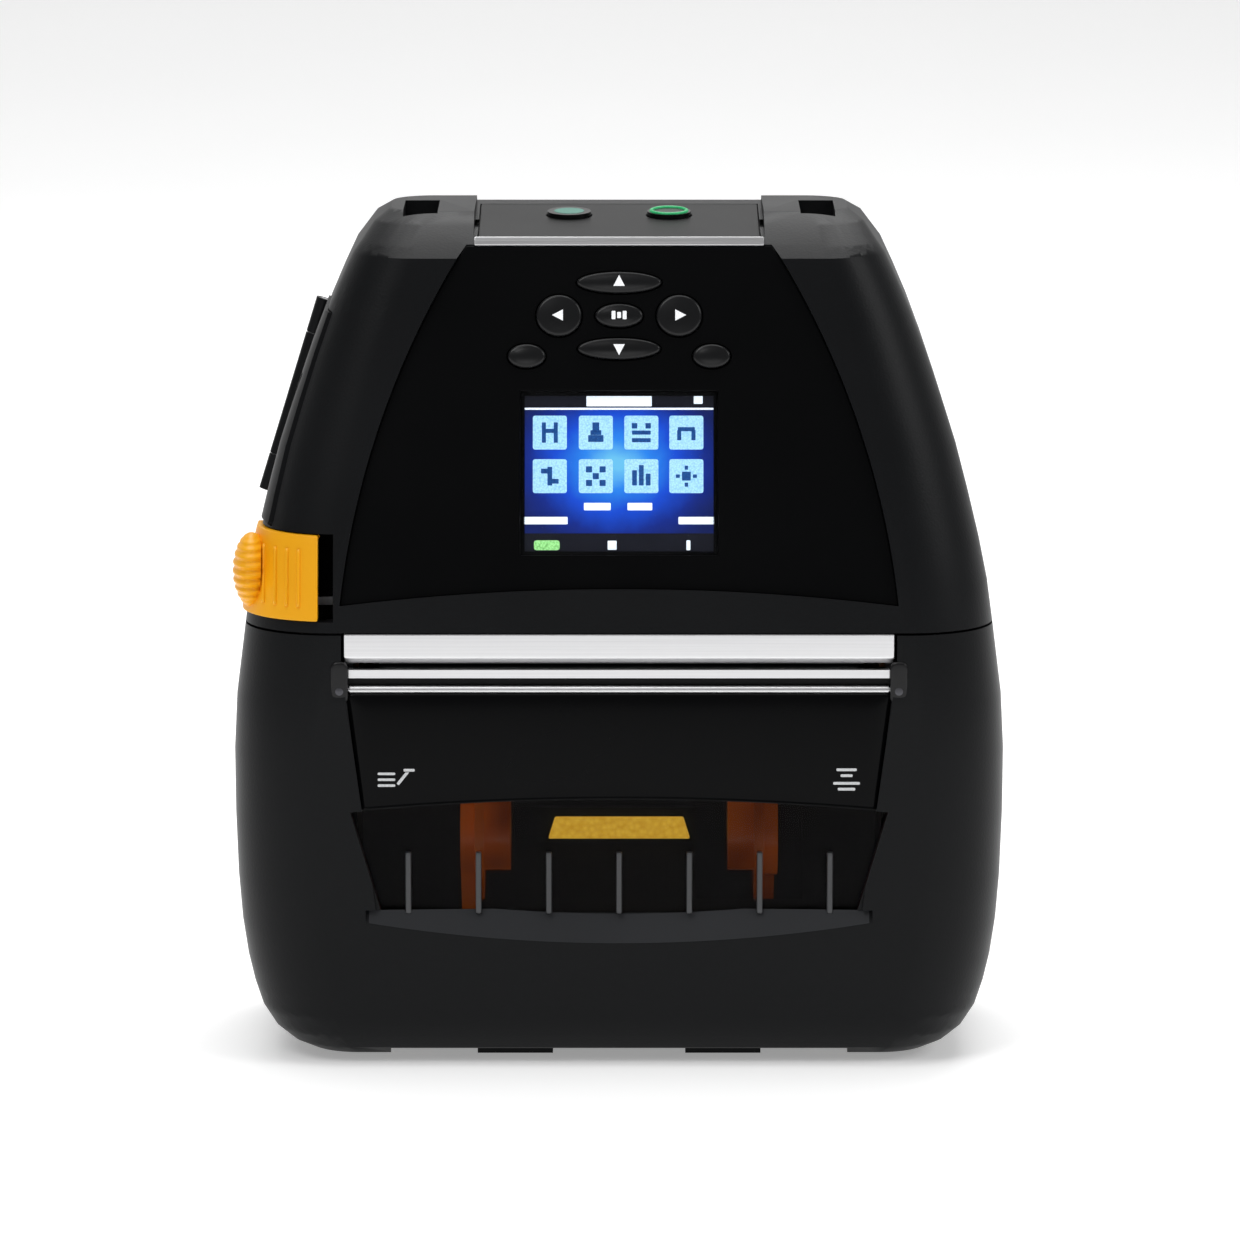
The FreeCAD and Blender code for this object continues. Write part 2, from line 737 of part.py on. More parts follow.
idler_at = ("platen_back + 15.3", "platen_height + 1.6")
idler_lean = math.degrees(math.atan2(1.6, 15.3))
REACH = "gear_module * (idler_teeth + pinion_teeth) / 2 + 0.1"
motor_at = (
    f"{idler_at[0]} + ({REACH}) * cos(pinion_rise)",
    f"{idler_at[1]} + ({REACH}) * sin(pinion_rise)",
)
frame_body = fuse(
    "frame_body",
    block("frame_beam", ("-58", "58"), ("-frame_front", "8"), ("96.6", "98")),
    block("frame_front", ("-58", "58"), ("-frame_front", "-36.2"), ("89.4", "97")),
    both("side_plates", side_plate),
    both("ears", ear),
    rod("idler_stud", "x", ("58", *idler_at), "2", "gear_inner + gear_face + 1 - 58"),
)
frame_cuts = [
    block("motor_gap", ("34", "frame_half"), ("-20", "9"), ("96", "99")),
    rod("head_bore", "x", ("-61", "-head_back", "head_pivot_height"), "1.5", "122"),
    rod("motor_boss_bore", "x", ("57", *motor_at), "3.2", "3"),
]
node("print_frame", cut("frame_cut", frame_body, *frame_cuts))

HEAD_LOW = "platen_height + platen_radius + paper_gap"
head_body = fuse(
    "head_body",
    block("head_ceramic", ("-label_half", "label_half"), ("-34", "-22"), (HEAD_LOW, HEAD_LOW + " + 1.5")),
    block("head_sink", ("-label_half", "label_half"), ("-35", "-18"), (HEAD_LOW + " + 1.5", "95")),
    block("head_lug", ("-label_half", "label_half"), ("-19", "-13.6"), ("90.8", "95")),
)
fins = []
for i in range(4):
    groove = (f"-33.6 + 3 * {i}", f"-32.2 + 3 * {i}")
    fins.append(block(f"fin_gap_{i}", ("-label_half - 1", "label_half + 1"), groove, ("92", "96")))
head_bore = rod(
    "lug_bore",
    "x",
    ("-label_half - 1", "-head_back", "head_pivot_height"),
    "1.5 + running",
    "2 * label_half + 2",
)
node("print_head", cut("head_cut", head_body, head_bore, *fins))
node("head_pivot", rod("head_pin", "x", ("-60.2", "-head_back", "head_pivot_height"), "1.5", "120.4"))

rubber = rod("rubber", "x", ("-label_half", *PLATEN), "platen_radius", "2 * label_half")
node(
    "platen_roller",
    cut(
        "rubber_bored",
        rubber,
        rod("rubber_bore", "x", ("-label_half - 1", *PLATEN), "shaft_radius", "2 * label_half + 2"),
    ),
)
node(
    "platen_shaft",
    rod("platen_rod", "x", ("-57", *PLATEN), "shaft_radius", "57 + gear_inner + gear_face + 0.6"),
)
GEAR_SPAN = ("gear_inner", "gear_inner + gear_face")
phase = idler_lean
node(
    "platen_gear",
    toothed("platen_wheel", "yz", "platen_teeth", "gear_module", "shaft_radius", phase, *GEAR_SPAN, PLATEN),
)
idler_step = 360 / number("idler_teeth")
pinion_step = 360 / number("pinion_teeth")
idler_phase = idler_lean + 180 + idler_step / 2
node(
    "idler_gear",
    toothed(
        "idler_wheel", "yz", "idler_teeth", "gear_module", "2 + running", idler_phase, *GEAR_SPAN, idler_at
    ),
)
part_tooth = (number("pinion_rise") - idler_phase) / idler_step % 1
pinion_phase = number("pinion_rise") + 180 + (part_tooth + 0.5) * pinion_step
node(
    "motor_pinion",
    toothed("pinion_wheel", "yz", "pinion_teeth", "gear_module", "1", pinion_phase, *GEAR_SPAN, motor_at),
)
motor_body = fuse(
    "motor_body",
    rod("motor_can", "x", ("motor_end", *motor_at), "motor_radius", "frame_half - motor_end"),
    rod("motor_boss", "x", ("57", *motor_at), "3.2", "2.4"),
)
motor_axle = rod("motor_axle", "x", ("57", *motor_at), "1 - running", "gear_inner + gear_face - 57.2")
node("drive_motor", fuse("motor_whole", motor_body, motor_axle))


def cheek(name, side):
    return block(name, span(side, "53.5", "56.5"), ("-38.5", "-24"), ("70", "86.6"))


def wing(name, side):
    return block(name, span(side, "58.6", "60"), ("-41.4", "-37.2"), ("82.2", "88"))


bracket_body = fuse(
    "bracket_body",
    block("bracket_front", ("-60", "60"), ("-38.8", "-37.2"), ("70", "88")),
    block("bracket_foot", ("-56.5", "56.5"), ("-38.8", "-24"), ("70", "72.4")),
    both("cheeks", cheek),
    both("wings", wing),
)
bracket_cuts = [
    rod("platen_bore", "x", ("-57", *PLATEN), "shaft_radius + running", "114"),
    rod("peel_bore", "x", ("-61", "peel_back", "peel_height"), "0.6 + running", "122"),
    block("peel_room", ("-58.6", "58.6"), ("-42", "peel_back + 1.05"), ("82", "85")),
]
node("platen_bracket", cut("bracket_cut", bracket_body, *bracket_cuts))
node("peel_bar", block("peel_strip", ("-58.4", "58.4"), ("-40.6", "-38.8"), ("86.1", "87.9")))
peel = fuse(
    "peel_rod",
    rod("peel_tube", "x", ("-58.2", "peel_back", "peel_height"), "peel_radius", "116.4"),
    rod("peel_journal", "x", ("-59.8", "peel_back", "peel_height"), "0.6", "119.6"),
)
node("peel_roller", peel)
node("gap_sensor", block("sensor_board", ("-14", "14"), ("-12", "-1"), ("95", "96.6")))

# ---------------------------------------------------------------- media bay
BAY = ("bay_back", "bay_height")
tub_ring = cut(
    "tub_ring",
    rod("tub_outer", "x", ("-bay_half", *BAY), "bay_radius + tub_wall", "2 * bay_half"),
    rod("tub_inner", "x", ("-bay_half - 1", *BAY), "bay_radius", "2 * bay_half + 2"),
)
tub_half = common("tub_half", tub_ring, block("tub_box", WIDE, ("bay_back + 2", "body_back"), ("8", "75")))


def tub_end(name, side):
    points = [
        ("-5", "floor_thick"),
        ("29.4", "floor_thick"),
        ("30.5", "14"),
        ("30.5", "56"),
        ("14", "77"),
        ("-5", "77"),
    ]
    return prism(name, "yz", points, *span(side, "bay_half", "bay_half + 1.5"))


tub_body = fuse(
    "tub_body",
    tub_half,
    both("tub_ends", tub_end),
    block("lock_pad", ("-19", "19"), ("26.4", "29.6"), ("36", "44")),
)
tub_cuts = [
    block("left_arm_slot", ("-41.4", "-17.4"), ("11.8", "17.2"), ("9", "24")),
    block("right_arm_slot", ("17.4", "41.4"), ("21.5", "31.5"), ("18", "44")),
]
node("media_tub", cut("tub_cut", tub_body, *tub_cuts))
left_points = [
    ("-13", "40"),
    ("7", "20"),
    ("12.6", "16.4"),
    ("12.6", "9.5"),
    ("16.2", "9.5"),
    ("16.2", "18"),
    ("13", "28"),
    ("2", "51"),
]
right_points = [
    ("-8", "36.4"),
    ("22", "29.6"),
    ("27.6", "24"),
    ("27.6", "9.5"),
    ("30.2", "9.5"),
    ("30.2", "30"),
    ("20", "42"),
    ("-4", "54"),
]


def guide_arm(name, side, points):
    plate = prism(name + "_plate", "yz", points, *span(side, "arm_inner", "arm_inner + arm_thick"))
    hub_from = "arm_inner - 7" if side > 0 else "-arm_inner - arm_thick"
    eye_from = span(side, "arm_inner", "arm_inner + arm_thick")[0]
    eye = rod(name + "_eye", "x", (eye_from, *BAY), "9.5", "arm_thick")
    axle = rod(name + "_axle", "x", (hub_from, *BAY), "axle_radius", "arm_thick + 7")
    return fuse(name, plate, eye, axle)


RACK_END = "guide_out + 5"
node("guide_arm_left", guide_arm("left_arm", -1, left_points))
node("guide_arm_right", guide_arm("right_arm", 1, right_points))
node("guide_rack_left", rack("left_rack", "-arm_inner", RACK_END, -1))
node("guide_rack_right", rack("right_rack", f"-({RACK_END})", "arm_inner", 1))
node(
    "guide_pinion",
    toothed(
        "guide_wheel",
        "xy",
        "pinion_teeth",
        "rack_module",
        "2 + running",
        90,
        "rack_low",
        "rack_high",
        ("0", "rack_back"),
    ),
)


def guide_disc(name, side):
    flange = rod(
        name + "_flange",
        "x",
        (span(side, "arm_inner - 2.2", "arm_inner - 0.2")[0], *BAY),
        "disc_radius",
        "2",
    )
    hub = rod(
        name + "_hub", "x", (span(side, "arm_inner - 8", "arm_inner - 1")[0], *BAY), "hub_radius", "7"
    )
    bore = rod(
        name + "_bore",
        "x",
        (span(side, "arm_inner - 7.2", "arm_inner + 1")[0], *BAY),
        "axle_radius + running",
        "8.2",
    )
    holes = []
    for i in range(3):
        y = f"bay_back + 11.6 * cos({120 * i + 90})"
        z = f"bay_height + 11.6 * sin({120 * i + 90})"
        holes.append(
            rod(
                f"{name}_hole_{i}", "x", (span(side, "arm_inner - 3", "arm_inner + 1")[0], y, z), "1.6", "4"
            ),
        )
    return cut(name, fuse(name + "_solid", flange, hub), bore, *holes)


node("guide_disc_left", guide_disc("left_disc", -1))
node("guide_disc_right", guide_disc("right_disc", 1))
lock_points = [("-16", "37.2"), ("16", "37.2"), ("14.5", "42"), ("-14.5", "42")]
node("guide_lock", prism("lock_tab", "xz", lock_points, "24.2", "26.4"))

# ---------------------------------------------------------------- control panel, drawn flat
LOW = "panel_low_half"
HIGH = "panel_high_half"


def panel_outline(name, grow, low, high):
    points = [
        (f"-{LOW} - ({grow})", f"1.6 - ({grow})"),
        (f"{LOW} + ({grow})", f"1.6 - ({grow})"),
        (f"{HIGH} + ({grow})", f"panel_length + ({grow})"),
        (f"-{HIGH} - ({grow})", f"panel_length + ({grow})"),
    ]
    return prism(name, "xy", points, low, high, {0: "-panel_arch", 1: "panel_bow", 3: "panel_bow"})


KEYS = {
    "key_up": (0, 71.9, 9.2, 2.4),
    "key_ok": (0, 64.7, 5.2, 2.65),
    "key_down": (0, 57.5, 9, 2.4),
    "key_left": (-13, 64.7, 4.95, 4.55),
    "key_right": (13, 64.7, 4.95, 4.55),
    "key_soft_left": (-20, 55.9, 4.1, 2.65),
    "key_soft_right": (20, 55.9, 4.1, 2.65),
}


def ellipse_prism(name, at, half_u, half_v, low, high):
    """An elliptical column; a taller one is turned so that its long axis points up the panel."""
    if half_v <= half_u:
        return oval(name, at, half_u, half_v, low, high)
    piece = oval(name, at, half_v, half_u, low, high)
    piece.Base.Placement.Rotation = FreeCAD.Rotation(AXES["z"], 90)
    return piece


def key_holes(name, low, high):
    holes = []
    for label, (u, v, a, b) in KEYS.items():
        holes.append(ellipse_prism(f"{name}_{label}", (f"{u}", f"{v}"), a + 0.2, b + 0.2, low, high))
    return holes


window = (("-screen_half", "screen_half"), ("screen_low", "screen_high"))
opening = (("-screen_half + 1", "screen_half - 1"), ("screen_low + 1", "screen_high - 1"))
face_plate = panel_outline("face_plate", "-0.15", "-panel_thick", "0")
face_cuts = [
    block("lens_hole", *window, ("-panel_thick - 1", "1")),
    block("face_end", ("-40", "40"), ("panel_length - 1", "panel_length + 2"), ("-3", "1")),
    *key_holes("face", "-panel_thick - 1", "1"),
]
node("control_panel", cut("face_cut", face_plate, *face_cuts), "panel")
node("display_lens", block("lens_glass", *window, ("-panel_thick", "-0.1")), "panel")
BED = "-panel_thick - panel_bed"
screen = (("-screen_half + 1.1", "screen_half - 1.1"), ("screen_low + 1.1", "screen_high - 1.1"))
module = fuse(
    "module_whole",
    block("module_back", ("-25", "25"), ("9.6", "51.4"), (BED + " - 4.4", BED)),
    block("module_screen", *screen, (BED + " - 1", "-panel_thick - 0.3")),
)
node("display_module", module, "panel")
node(
    "key_board",
    block("key_plate", ("-29", "29"), ("51.9", "78"), (BED + " - 4.5", BED + " - 2.9")),
    "panel",
)
for label, (u, v, a, b) in KEYS.items():
    cap = ellipse_prism(label + "_cap", (f"{u}", f"{v}"), a, b, BED + " - 1", "key_proud")
    brim = ellipse_prism(label + "_brim", (f"{u}", f"{v}"), a + 0.75, b + 0.75, BED + " - 0.9", BED)
    foot = rod(label + "_foot", "z", (f"{u}", f"{v}", BED + " - 1.9"), "1", "1.2")
    node(label, fuse(label + "_whole", cap, brim, foot), "panel")
node(
    "trim_bar",
    block("trim_strip", ("-31.4", "31.4"), ("panel_length - 0.9", "panel_length + 1.1"), ("-1.2", "0.5")),
    "panel",
)

# ---------------------------------------------------------------- upper housing
panel_pocket = panel_outline("panel_pocket", "0", "-panel_thick", "12")
panel_bed = panel_outline("panel_bed_plate", "3", BED, "-panel_thick + 0.01")
bed_posts = [
    rod(f"bed_post_{i}", "z", (f"{u}", f"{v}", BED + " - 2.9"), "1.6", "3.4")
    for i, (u, v) in enumerate([(-26.6, 75.6), (26.6, 75.6), (-27, 60.6), (27, 60.6)])
]
bed_cuts = [
    panel_pocket,
    block("screen_hole", *opening, (BED + " - 1", "2")),
    *key_holes("bed", BED + " - 1", "2"),
    block("trim_hole", ("-31.5", "31.5"), ("panel_length - 1", "panel_length + 1.2"), ("-1.2", "8")),
]
bed_solid = lean(fuse("bed_solid", panel_bed, *bed_posts), "panel")
bed_holes = lean(fuse("bed_holes", *bed_cuts), "panel")

CHANNEL = ("-channel_half", "channel_half")
top_bed = lean(
    block("top_bed", ("-channel_half - 2", "channel_half + 2"), ("-2", "46"), ("-3.6", "-1.2")), "top"
)
top_hole = fuse(
    "top_hole",
    block("channel_cut", CHANNEL, ("-9", "52"), ("0", "12")),
    block("plate_pocket", ("-channel_half + 0.8", "channel_half - 0.8"), ("1.2", "42"), ("-1.2", "1")),
    rod("power_hole", "z", ("-button_spread", "button_back", "-8"), "button_radius + 0.4", "12"),
    rod("feed_hole", "z", ("button_spread", "button_back", "-8"), "button_radius + 0.4", "12"),
)
lean(top_hole, "top")
plate_body = block(
    "top_sheet", ("-channel_half + 0.9", "channel_half - 0.9"), ("1.3", "41.9"), ("-1.2", "0")
)
plate_holes = [
    rod(f"sheet_hole_{i}", "z", (x, "button_back", "-2"), "button_radius + 0.2", "4")
    for i, x in enumerate(("-button_spread", "button_spread"))
]
node("top_plate", cut("top_sheet_cut", plate_body, *plate_holes), "top")
for label, x in (("power_button", "-button_spread"), ("feed_button", "button_spread")):
    cap = rod(label + "_cap", "z", (x, "button_back", "-4.6"), "button_radius", "5.5")
    brim = rod(label + "_brim", "z", (x, "button_back", "-4.6"), "button_radius + 1.1", "1")
    node(label, fuse(label + "_whole", cap, brim), "top")

STRAP_X = ("strap_inner", "strap_outer")
STRAP_Y = ("strap_front", "strap_rear")


def strap_wall(name, side):
    x = span(side, "strap_inner - 2.4", "strap_outer + 2.4")
    return block(
        name,
        x,
        ("strap_front - 2.4", "strap_rear + 2.4"),
        ("body_height - strap_depth - 2.4", "body_height"),
    )


def strap_slot(name, side):
    return block(name, span(side, *STRAP_X), STRAP_Y, ("body_height - strap_depth", "body_height + 1"))


bar_at = ("(strap_front + strap_rear) / 2", "body_height - 4.4")
node(
    "strap_bar_left",
    rod("left_bar", "x", ("-strap_outer", *bar_at), "strap_bar_radius", "strap_outer - strap_inner"),
)
node(
    "strap_bar_right",
    rod("right_bar", "x", ("strap_inner", *bar_at), "strap_bar_radius", "strap_outer - strap_inner"),
)

BATTERY_FRONT = "body_back - battery_thick"
battery_zone = (
    ("-battery_half", "battery_half"), (BATTERY_FRONT, "body_back"), ("battery_low", "battery_high")
)


def widened(zone, gap):
    return tuple((f"{low} - {gap}", f"{high} + {gap}") for low, high in zone)


latch_box = block(
    "battery_latch_wall", ("-12", "12"), ("body_back - 5.4", "body_back - 1"), ("battery_high + 2", "174.5")
)
battery_walls = block("battery_walls", *widened(battery_zone, 2.6))
board_posts = [
    rod(f"board_post_{i}", "y", (x, "11.6", z), "2.6", BATTERY_FRONT + " - 11.6")
    for i, (x, z) in enumerate([("-30", "110"), ("30", "110"), ("-30", "154"), ("30", "154")])
]
upper_solid = upper_casing("upper_outer")
upper_added = common(
    "upper_added",
    upper_solid,
    fuse(
        "upper_inside",
        bed_solid,
        top_bed,
        both("strap_walls", strap_wall),
        latch_box,
        battery_walls,
        *board_posts,
        *screw_bosses("upper_boss", upper_spots),
    ),
)
upper_shell = cut("upper_shell", upper_solid, upper_casing("upper_inner", "wall"))
latch_gap = block(
    "latch_gap",
    ("-half_width - 5", "latch_inner + latch_travel + 0.3"),
    ("-body_front - 5", "-14.7"),
    ("latch_low - 0.3", "latch_high + 0.3"),
)

# ---------------------------------------------------------------- port door on the left flank
flank = math.degrees(math.atan2(13.2, 43))  # lean of the hinge line, over the rows that the door spans
DOOR_HINGE = ("-half_width + 5.5", "door_rear", "door_low")
LEAN_SIN = round(math.sin(math.radians(flank)), 5)
LEAN_COS = round(math.cos(math.radians(flank)), 5)
DOOR_RUN = f"(door_high - door_low) / {LEAN_COS}"


def on_flank(piece, at):
    """Stands a piece on the leaning hinge line; at is measured from the line's lower end."""
    piece.Placement.Rotation = FreeCAD.Rotation(AXES["y"], flank)
    x = f"{DOOR_HINGE[0]} + ({at[0]}) * {LEAN_COS} + ({at[2]}) * {LEAN_SIN}"
    z = f"{DOOR_HINGE[2]} - ({at[0]}) * {LEAN_SIN} + ({at[2]}) * {LEAN_COS}"
    return put(piece, (x, f"{DOOR_HINGE[1]} + ({at[1]})", z))


def flank_block(name, x, y, z):
    return on_flank(block(name, x, y, z), (x[0], y[0], z[0]))


def flank_rod(name, radius, start, length):
    return on_flank(rod(name, "z", ("0", "0", "0"), radius, length), ("0", "0", start))


def end_knuckles(name, radius, spare):
    return fuse(
        name,
        flank_rod(name + "_low", radius, "1", f"8 + {spare}"),
        flank_rod(name + "_high", radius, f"{DOOR_RUN} - 9 - {spare}", f"8 + {spare}"),
    )


DOOR_Y = "door_front - door_rear"
DOOR_LOW_END = "door_low - 10"
DOOR_HIGH_END = "door_high + 10"


def behind_lean(name, gap):
    """What lies behind the door's front edge, which leans back as the panel does."""
    low_y = f"door_front - {gap} - 10 * tan(tilt)"
    high_y = f"door_front - {gap} + (door_high - door_low + 10) * tan(tilt)"
    low_edge = [(low_y, DOOR_LOW_END), ("body_back", DOOR_LOW_END)]
    points = low_edge + [("body_back", DOOR_HIGH_END), (high_y, DOOR_HIGH_END)]
    return prism(name, "yz", points, "-half_width - 5", "-30")


leaf_box = flank_block("leaf_box", ("-6", "16"), (DOOR_Y, "-0.4"), ("0", DOOR_RUN))
leaf_gap = common(
    "leaf_gap",
    flank_block("leaf_gap_box", ("-6", "16"), (DOOR_Y + " - 0.7", "0.3"), ("-0.3", DOOR_RUN + " + 0.3")),
    behind_lean("leaf_gap_edge", 0.7),
)
door_skin = cut(
    "door_skin", upper_casing("door_outer", "-door_proud"), upper_casing("door_inner", "wall - door_proud")
)
leaf = cut(
    "leaf",
    common("leaf_whole", door_skin, leaf_box, behind_lean("leaf_edge", 0)),
    flank_block("leaf_pull", ("-6", "2"), (DOOR_Y + " + 11.5", DOOR_Y + " + 19.5"), ("12", "32")),
    end_knuckles("leaf_ends", "2.05", 0.3),
)
barrel = flank_rod("leaf_barrel", "1.8", "9.3", f"{DOOR_RUN} - 18.6")
door_bore = flank_rod("leaf_bore", "0.8 + running", "-1", f"{DOOR_RUN} + 2")
node("port_door", cut("door_bored", fuse("leaf_barreled", leaf, barrel), door_bore))
node("door_pin", flank_rod("door_wire", "0.8", "1", f"{DOOR_RUN} - 2"))

# ---------------------------------------------------------------- upper housing, put together
def screws(name, spots):
    pieces = []
    for i, (x, z) in enumerate(spots):
        head = rod(f"{name}_head_{i}", "y", (x, "body_back - 1.8", z), "2.8", "1.5")
        shank = rod(f"{name}_shank_{i}", "y", (x, "body_back - 10", z), "1.4", "8.4")
        socket = rod(f"{name}_socket_{i}", "y", (x, "body_back - 1", z), "1.1", "2")
        pieces.append(cut(f"{name}_{i}", fuse(f"{name}_solid_{i}", head, shank), socket))
    return fuse(name, *pieces)


node("screws_upper", screws("upper_screws", upper_spots))
node("screws_lower", screws("lower_screws", lower_spots))
latch_pocket = block(
    "latch_pocket",
    ("-9.3", "9.3"),
    ("body_back - 3.4", "body_back + 2"),
    ("battery_high", "battery_high + 10.6"),
)
wide_battery = widened(battery_zone, 0.3)
upper_cuts = [
    bed_holes,
    top_hole,
    both("strap_slots", strap_slot),
    block("battery_pocket", wide_battery[0], (wide_battery[1][0], "body_back + 2"), wide_battery[2]),
    latch_pocket,
    latch_gap,
    leaf_gap,
    flank_rod("middle_gap", "2.05", "9", f"{DOOR_RUN} - 18"),
    screw_holes("upper_holes", upper_spots),
]
upper_body = cut("upper_body", fuse("upper_filled", upper_shell, upper_added), *upper_cuts)
upper_knuckles = end_knuckles("upper_ends", "1.8", 0)
pin_bore = flank_rod("pin_bore", "0.8", "0", DOOR_RUN)
node("upper_housing", cut("upper_bored", fuse("upper_knuckled", upper_body, upper_knuckles), pin_bore))

# ---------------------------------------------------------------- latch, battery, belt clip and boards
button_zone = block(
    "button_zone",
    ("-half_width - 5", "latch_inner"),
    ("-body_front - 5", "-15"),
    ("latch_low", "latch_high"),
)
button_skin = common(
    "button_skin",
    cut(
        "button_walls",
        upper_casing("button_outer", "-latch_proud"),
        upper_casing("button_inner", "wall - 0.2"),
    ),
    button_zone,
)
stem = block(
    "latch_stem",
    ("-rail_reach - 7.4", "-rail_reach"),
    ("-rail_back - 7", "-rail_back"),
    ("rail_height", "rail_height + 4.4"),
)
node("latch_button", fuse("button_whole", button_skin, stem))


def pawl(name, side):
    return block(
        name,
        span(side, "66.5", "70"),
        ("-rail_back - 7", "-rail_back"),
        ("rail_height - 9.8", "rail_height + 1.8"),
    )


node(
    "latch_bar",
    fuse(
        "latch_rail",
        block(
            "rail",
            ("-rail_reach", "rail_reach"),
            ("-rail_back - 3", "-rail_back"),
            ("rail_height", "rail_height + 1.8"),
        ),
        both("pawls", pawl),
    ),
)
cell = soften("battery_case", block("battery_block", *battery_zone), 1.2, at_level("y", "body_back"))
grips = [
    block(
        f"battery_grip_{i}",
        ("-14", "14"),
        ("body_back - 0.8", "body_back + 1"),
        (f"{154 - 4 * i}", f"{155.4 - 4 * i}"),
    )
    for i in range(3)
]
node("battery", cut("battery_cut", cell, *grips))
catch_zone = (
    ("-9", "9"), ("body_back - 3.2", "body_back + 0.3"), ("battery_high + 0.9", "battery_high + 7.2")
)
ridges = [
    block(
        f"catch_ridge_{i}",
        ("-7", "7"),
        ("body_back - 0.5", "body_back + 1"),
        (f"battery_high + {2.2 + 1.6 * i:.1f}", f"battery_high + {3 + 1.6 * i:.1f}"),
    )
    for i in range(3)
]
node("battery_latch", cut("catch_whole", block("catch_block", *catch_zone), *ridges))
CLIP_Y = "body_back + clip_gap"
tongue_points = [
    ("-clip_half + 3", "36"),
    ("clip_half - 3", "36"),
    ("clip_half", "44"),
    ("clip_half", "clip_pivot"),
    ("-clip_half", "clip_pivot"),
    ("-clip_half", "44"),
]
clip_body = fuse(
    "clip_body",
    prism("tongue", "xz", tongue_points, CLIP_Y, CLIP_Y + " + clip_thick"),
    rod("clip_eye", "x", ("-clip_half", "body_back + 5.2", "clip_pivot"), "2.6", "2 * clip_half"),
    block("clip_toe", ("-clip_half + 3.4", "clip_half - 3.4"), (CLIP_Y + " - 1.8", CLIP_Y), ("36", "39.4")),
)
clip_hole = rod(
    "clip_hole",
    "x",
    ("-clip_half - 1", "body_back + 5.2", "clip_pivot"),
    "1.2 + running",
    "2 * clip_half + 2",
)
node("belt_clip", cut("clip_bored", clip_body, clip_hole))
node(
    "clip_pin",
    rod(
        "clip_wire",
        "x",
        ("-clip_half - 4.8", "body_back + 5.2", "clip_pivot"),
        "1.2",
        "2 * clip_half + 9.6",
    ),
)
node("main_board", block("board", ("-52", "52"), ("10", "11.6"), ("106", "158")))
ports = block("port_case", ("-62.5", "-46"), ("2", "10"), ("124", "152"))
port_cuts = [
    block("usb_slot", ("-63", "-55"), ("4.4", "7.6"), ("130", "139")),
    rod("power_jack", "x", ("-63", "6", "145.6"), "2.7", "9"),
]
node("port_block", cut("ports_cut", ports, *port_cuts))


# ---------------------------------------------------------------- check and export
doc.recompute()
faulty = [piece.Name for piece in doc.Objects if "Invalid" in piece.State or "Error" in piece.State]
faulty += [piece.Label for piece in NODES if piece.Shape.isNull() or not piece.Shape.isValid()]
if faulty:
    raise RuntimeError("not built: " + ", ".join(faulty))
os.makedirs("parts", exist_ok=True)
for piece in NODES:
    piece.Shape.exportStep("parts/" + piece.Label + ".step")
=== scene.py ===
# A mobile label maker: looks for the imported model, in metres, with front faces towards -Y.
import json
import math
import bpy
import numpy as np
from mathutils import Matrix, Vector
from mathutils.bvhtree import BVHTree


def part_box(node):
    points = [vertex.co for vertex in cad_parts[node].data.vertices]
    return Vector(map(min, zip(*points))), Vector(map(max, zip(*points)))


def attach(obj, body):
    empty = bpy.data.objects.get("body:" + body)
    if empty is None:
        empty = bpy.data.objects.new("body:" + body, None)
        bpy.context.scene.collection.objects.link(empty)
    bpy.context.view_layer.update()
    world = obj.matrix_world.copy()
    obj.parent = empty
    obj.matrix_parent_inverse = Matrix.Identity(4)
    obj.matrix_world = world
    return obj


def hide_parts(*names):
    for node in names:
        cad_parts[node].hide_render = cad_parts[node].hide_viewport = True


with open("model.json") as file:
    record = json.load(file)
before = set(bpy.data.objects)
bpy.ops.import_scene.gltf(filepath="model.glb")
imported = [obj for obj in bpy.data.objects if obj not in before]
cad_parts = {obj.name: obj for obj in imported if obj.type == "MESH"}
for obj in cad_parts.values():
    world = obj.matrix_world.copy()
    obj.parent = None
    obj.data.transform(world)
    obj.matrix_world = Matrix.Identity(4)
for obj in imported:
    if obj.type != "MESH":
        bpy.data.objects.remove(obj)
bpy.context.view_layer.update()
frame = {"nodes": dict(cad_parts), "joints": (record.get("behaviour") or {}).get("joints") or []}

nodes = frame["nodes"]
mm = 0.001
print("frame loaded:", len(nodes), "nodes")


# ---- places taken from the frame
def span(name):
    # the lowest and highest corner of a node, as two numpy rows
    low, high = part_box(name)
    return np.array([low, high])


def slideOf(joint):
    # the direction a joint moves along
    return Vector(next(j["axis"] for j in frame["joints"] if j["name"] == joint))


def leaningFrame(inward, origin):
    # columns are right, up the face and out of it, then the origin
    out = -inward.normalized()
    right = Vector((1, 0, 0))
    up = out.cross(right).normalized()
    matrix = Matrix((right, up, out)).transposed().to_4x4()
    matrix.translation = origin
    return matrix


def frontOf(name, inward):
    # how far a node reaches out, against the inward direction
    out = -np.array(inward.normalized())
    return (verticesOf(nodes[name]) @ out).max()


def verticesOf(ob):
    co = np.empty(len(ob.data.vertices) * 3)
    ob.data.vertices.foreach_get("co", co)
    return co.reshape(-1, 3)


keySlide = slideOf("key_ok_press")
panelOut = -np.array(keySlide.normalized())
panelFace = frontOf("control_panel", keySlide)
panelFrame = leaningFrame(keySlide, Vector(panelOut * panelFace))  # x = 0, on the panel's face
panelUp = np.array(panelFrame.col[1])[:3]
buttonSlide = slideOf("power_button_press")
topOut = -np.array(buttonSlide.normalized())
topFace = frontOf("top_plate", buttonSlide)
topFrame = leaningFrame(buttonSlide, Vector(topOut * topFace))
topUp = np.array(topFrame.col[1])[:3]


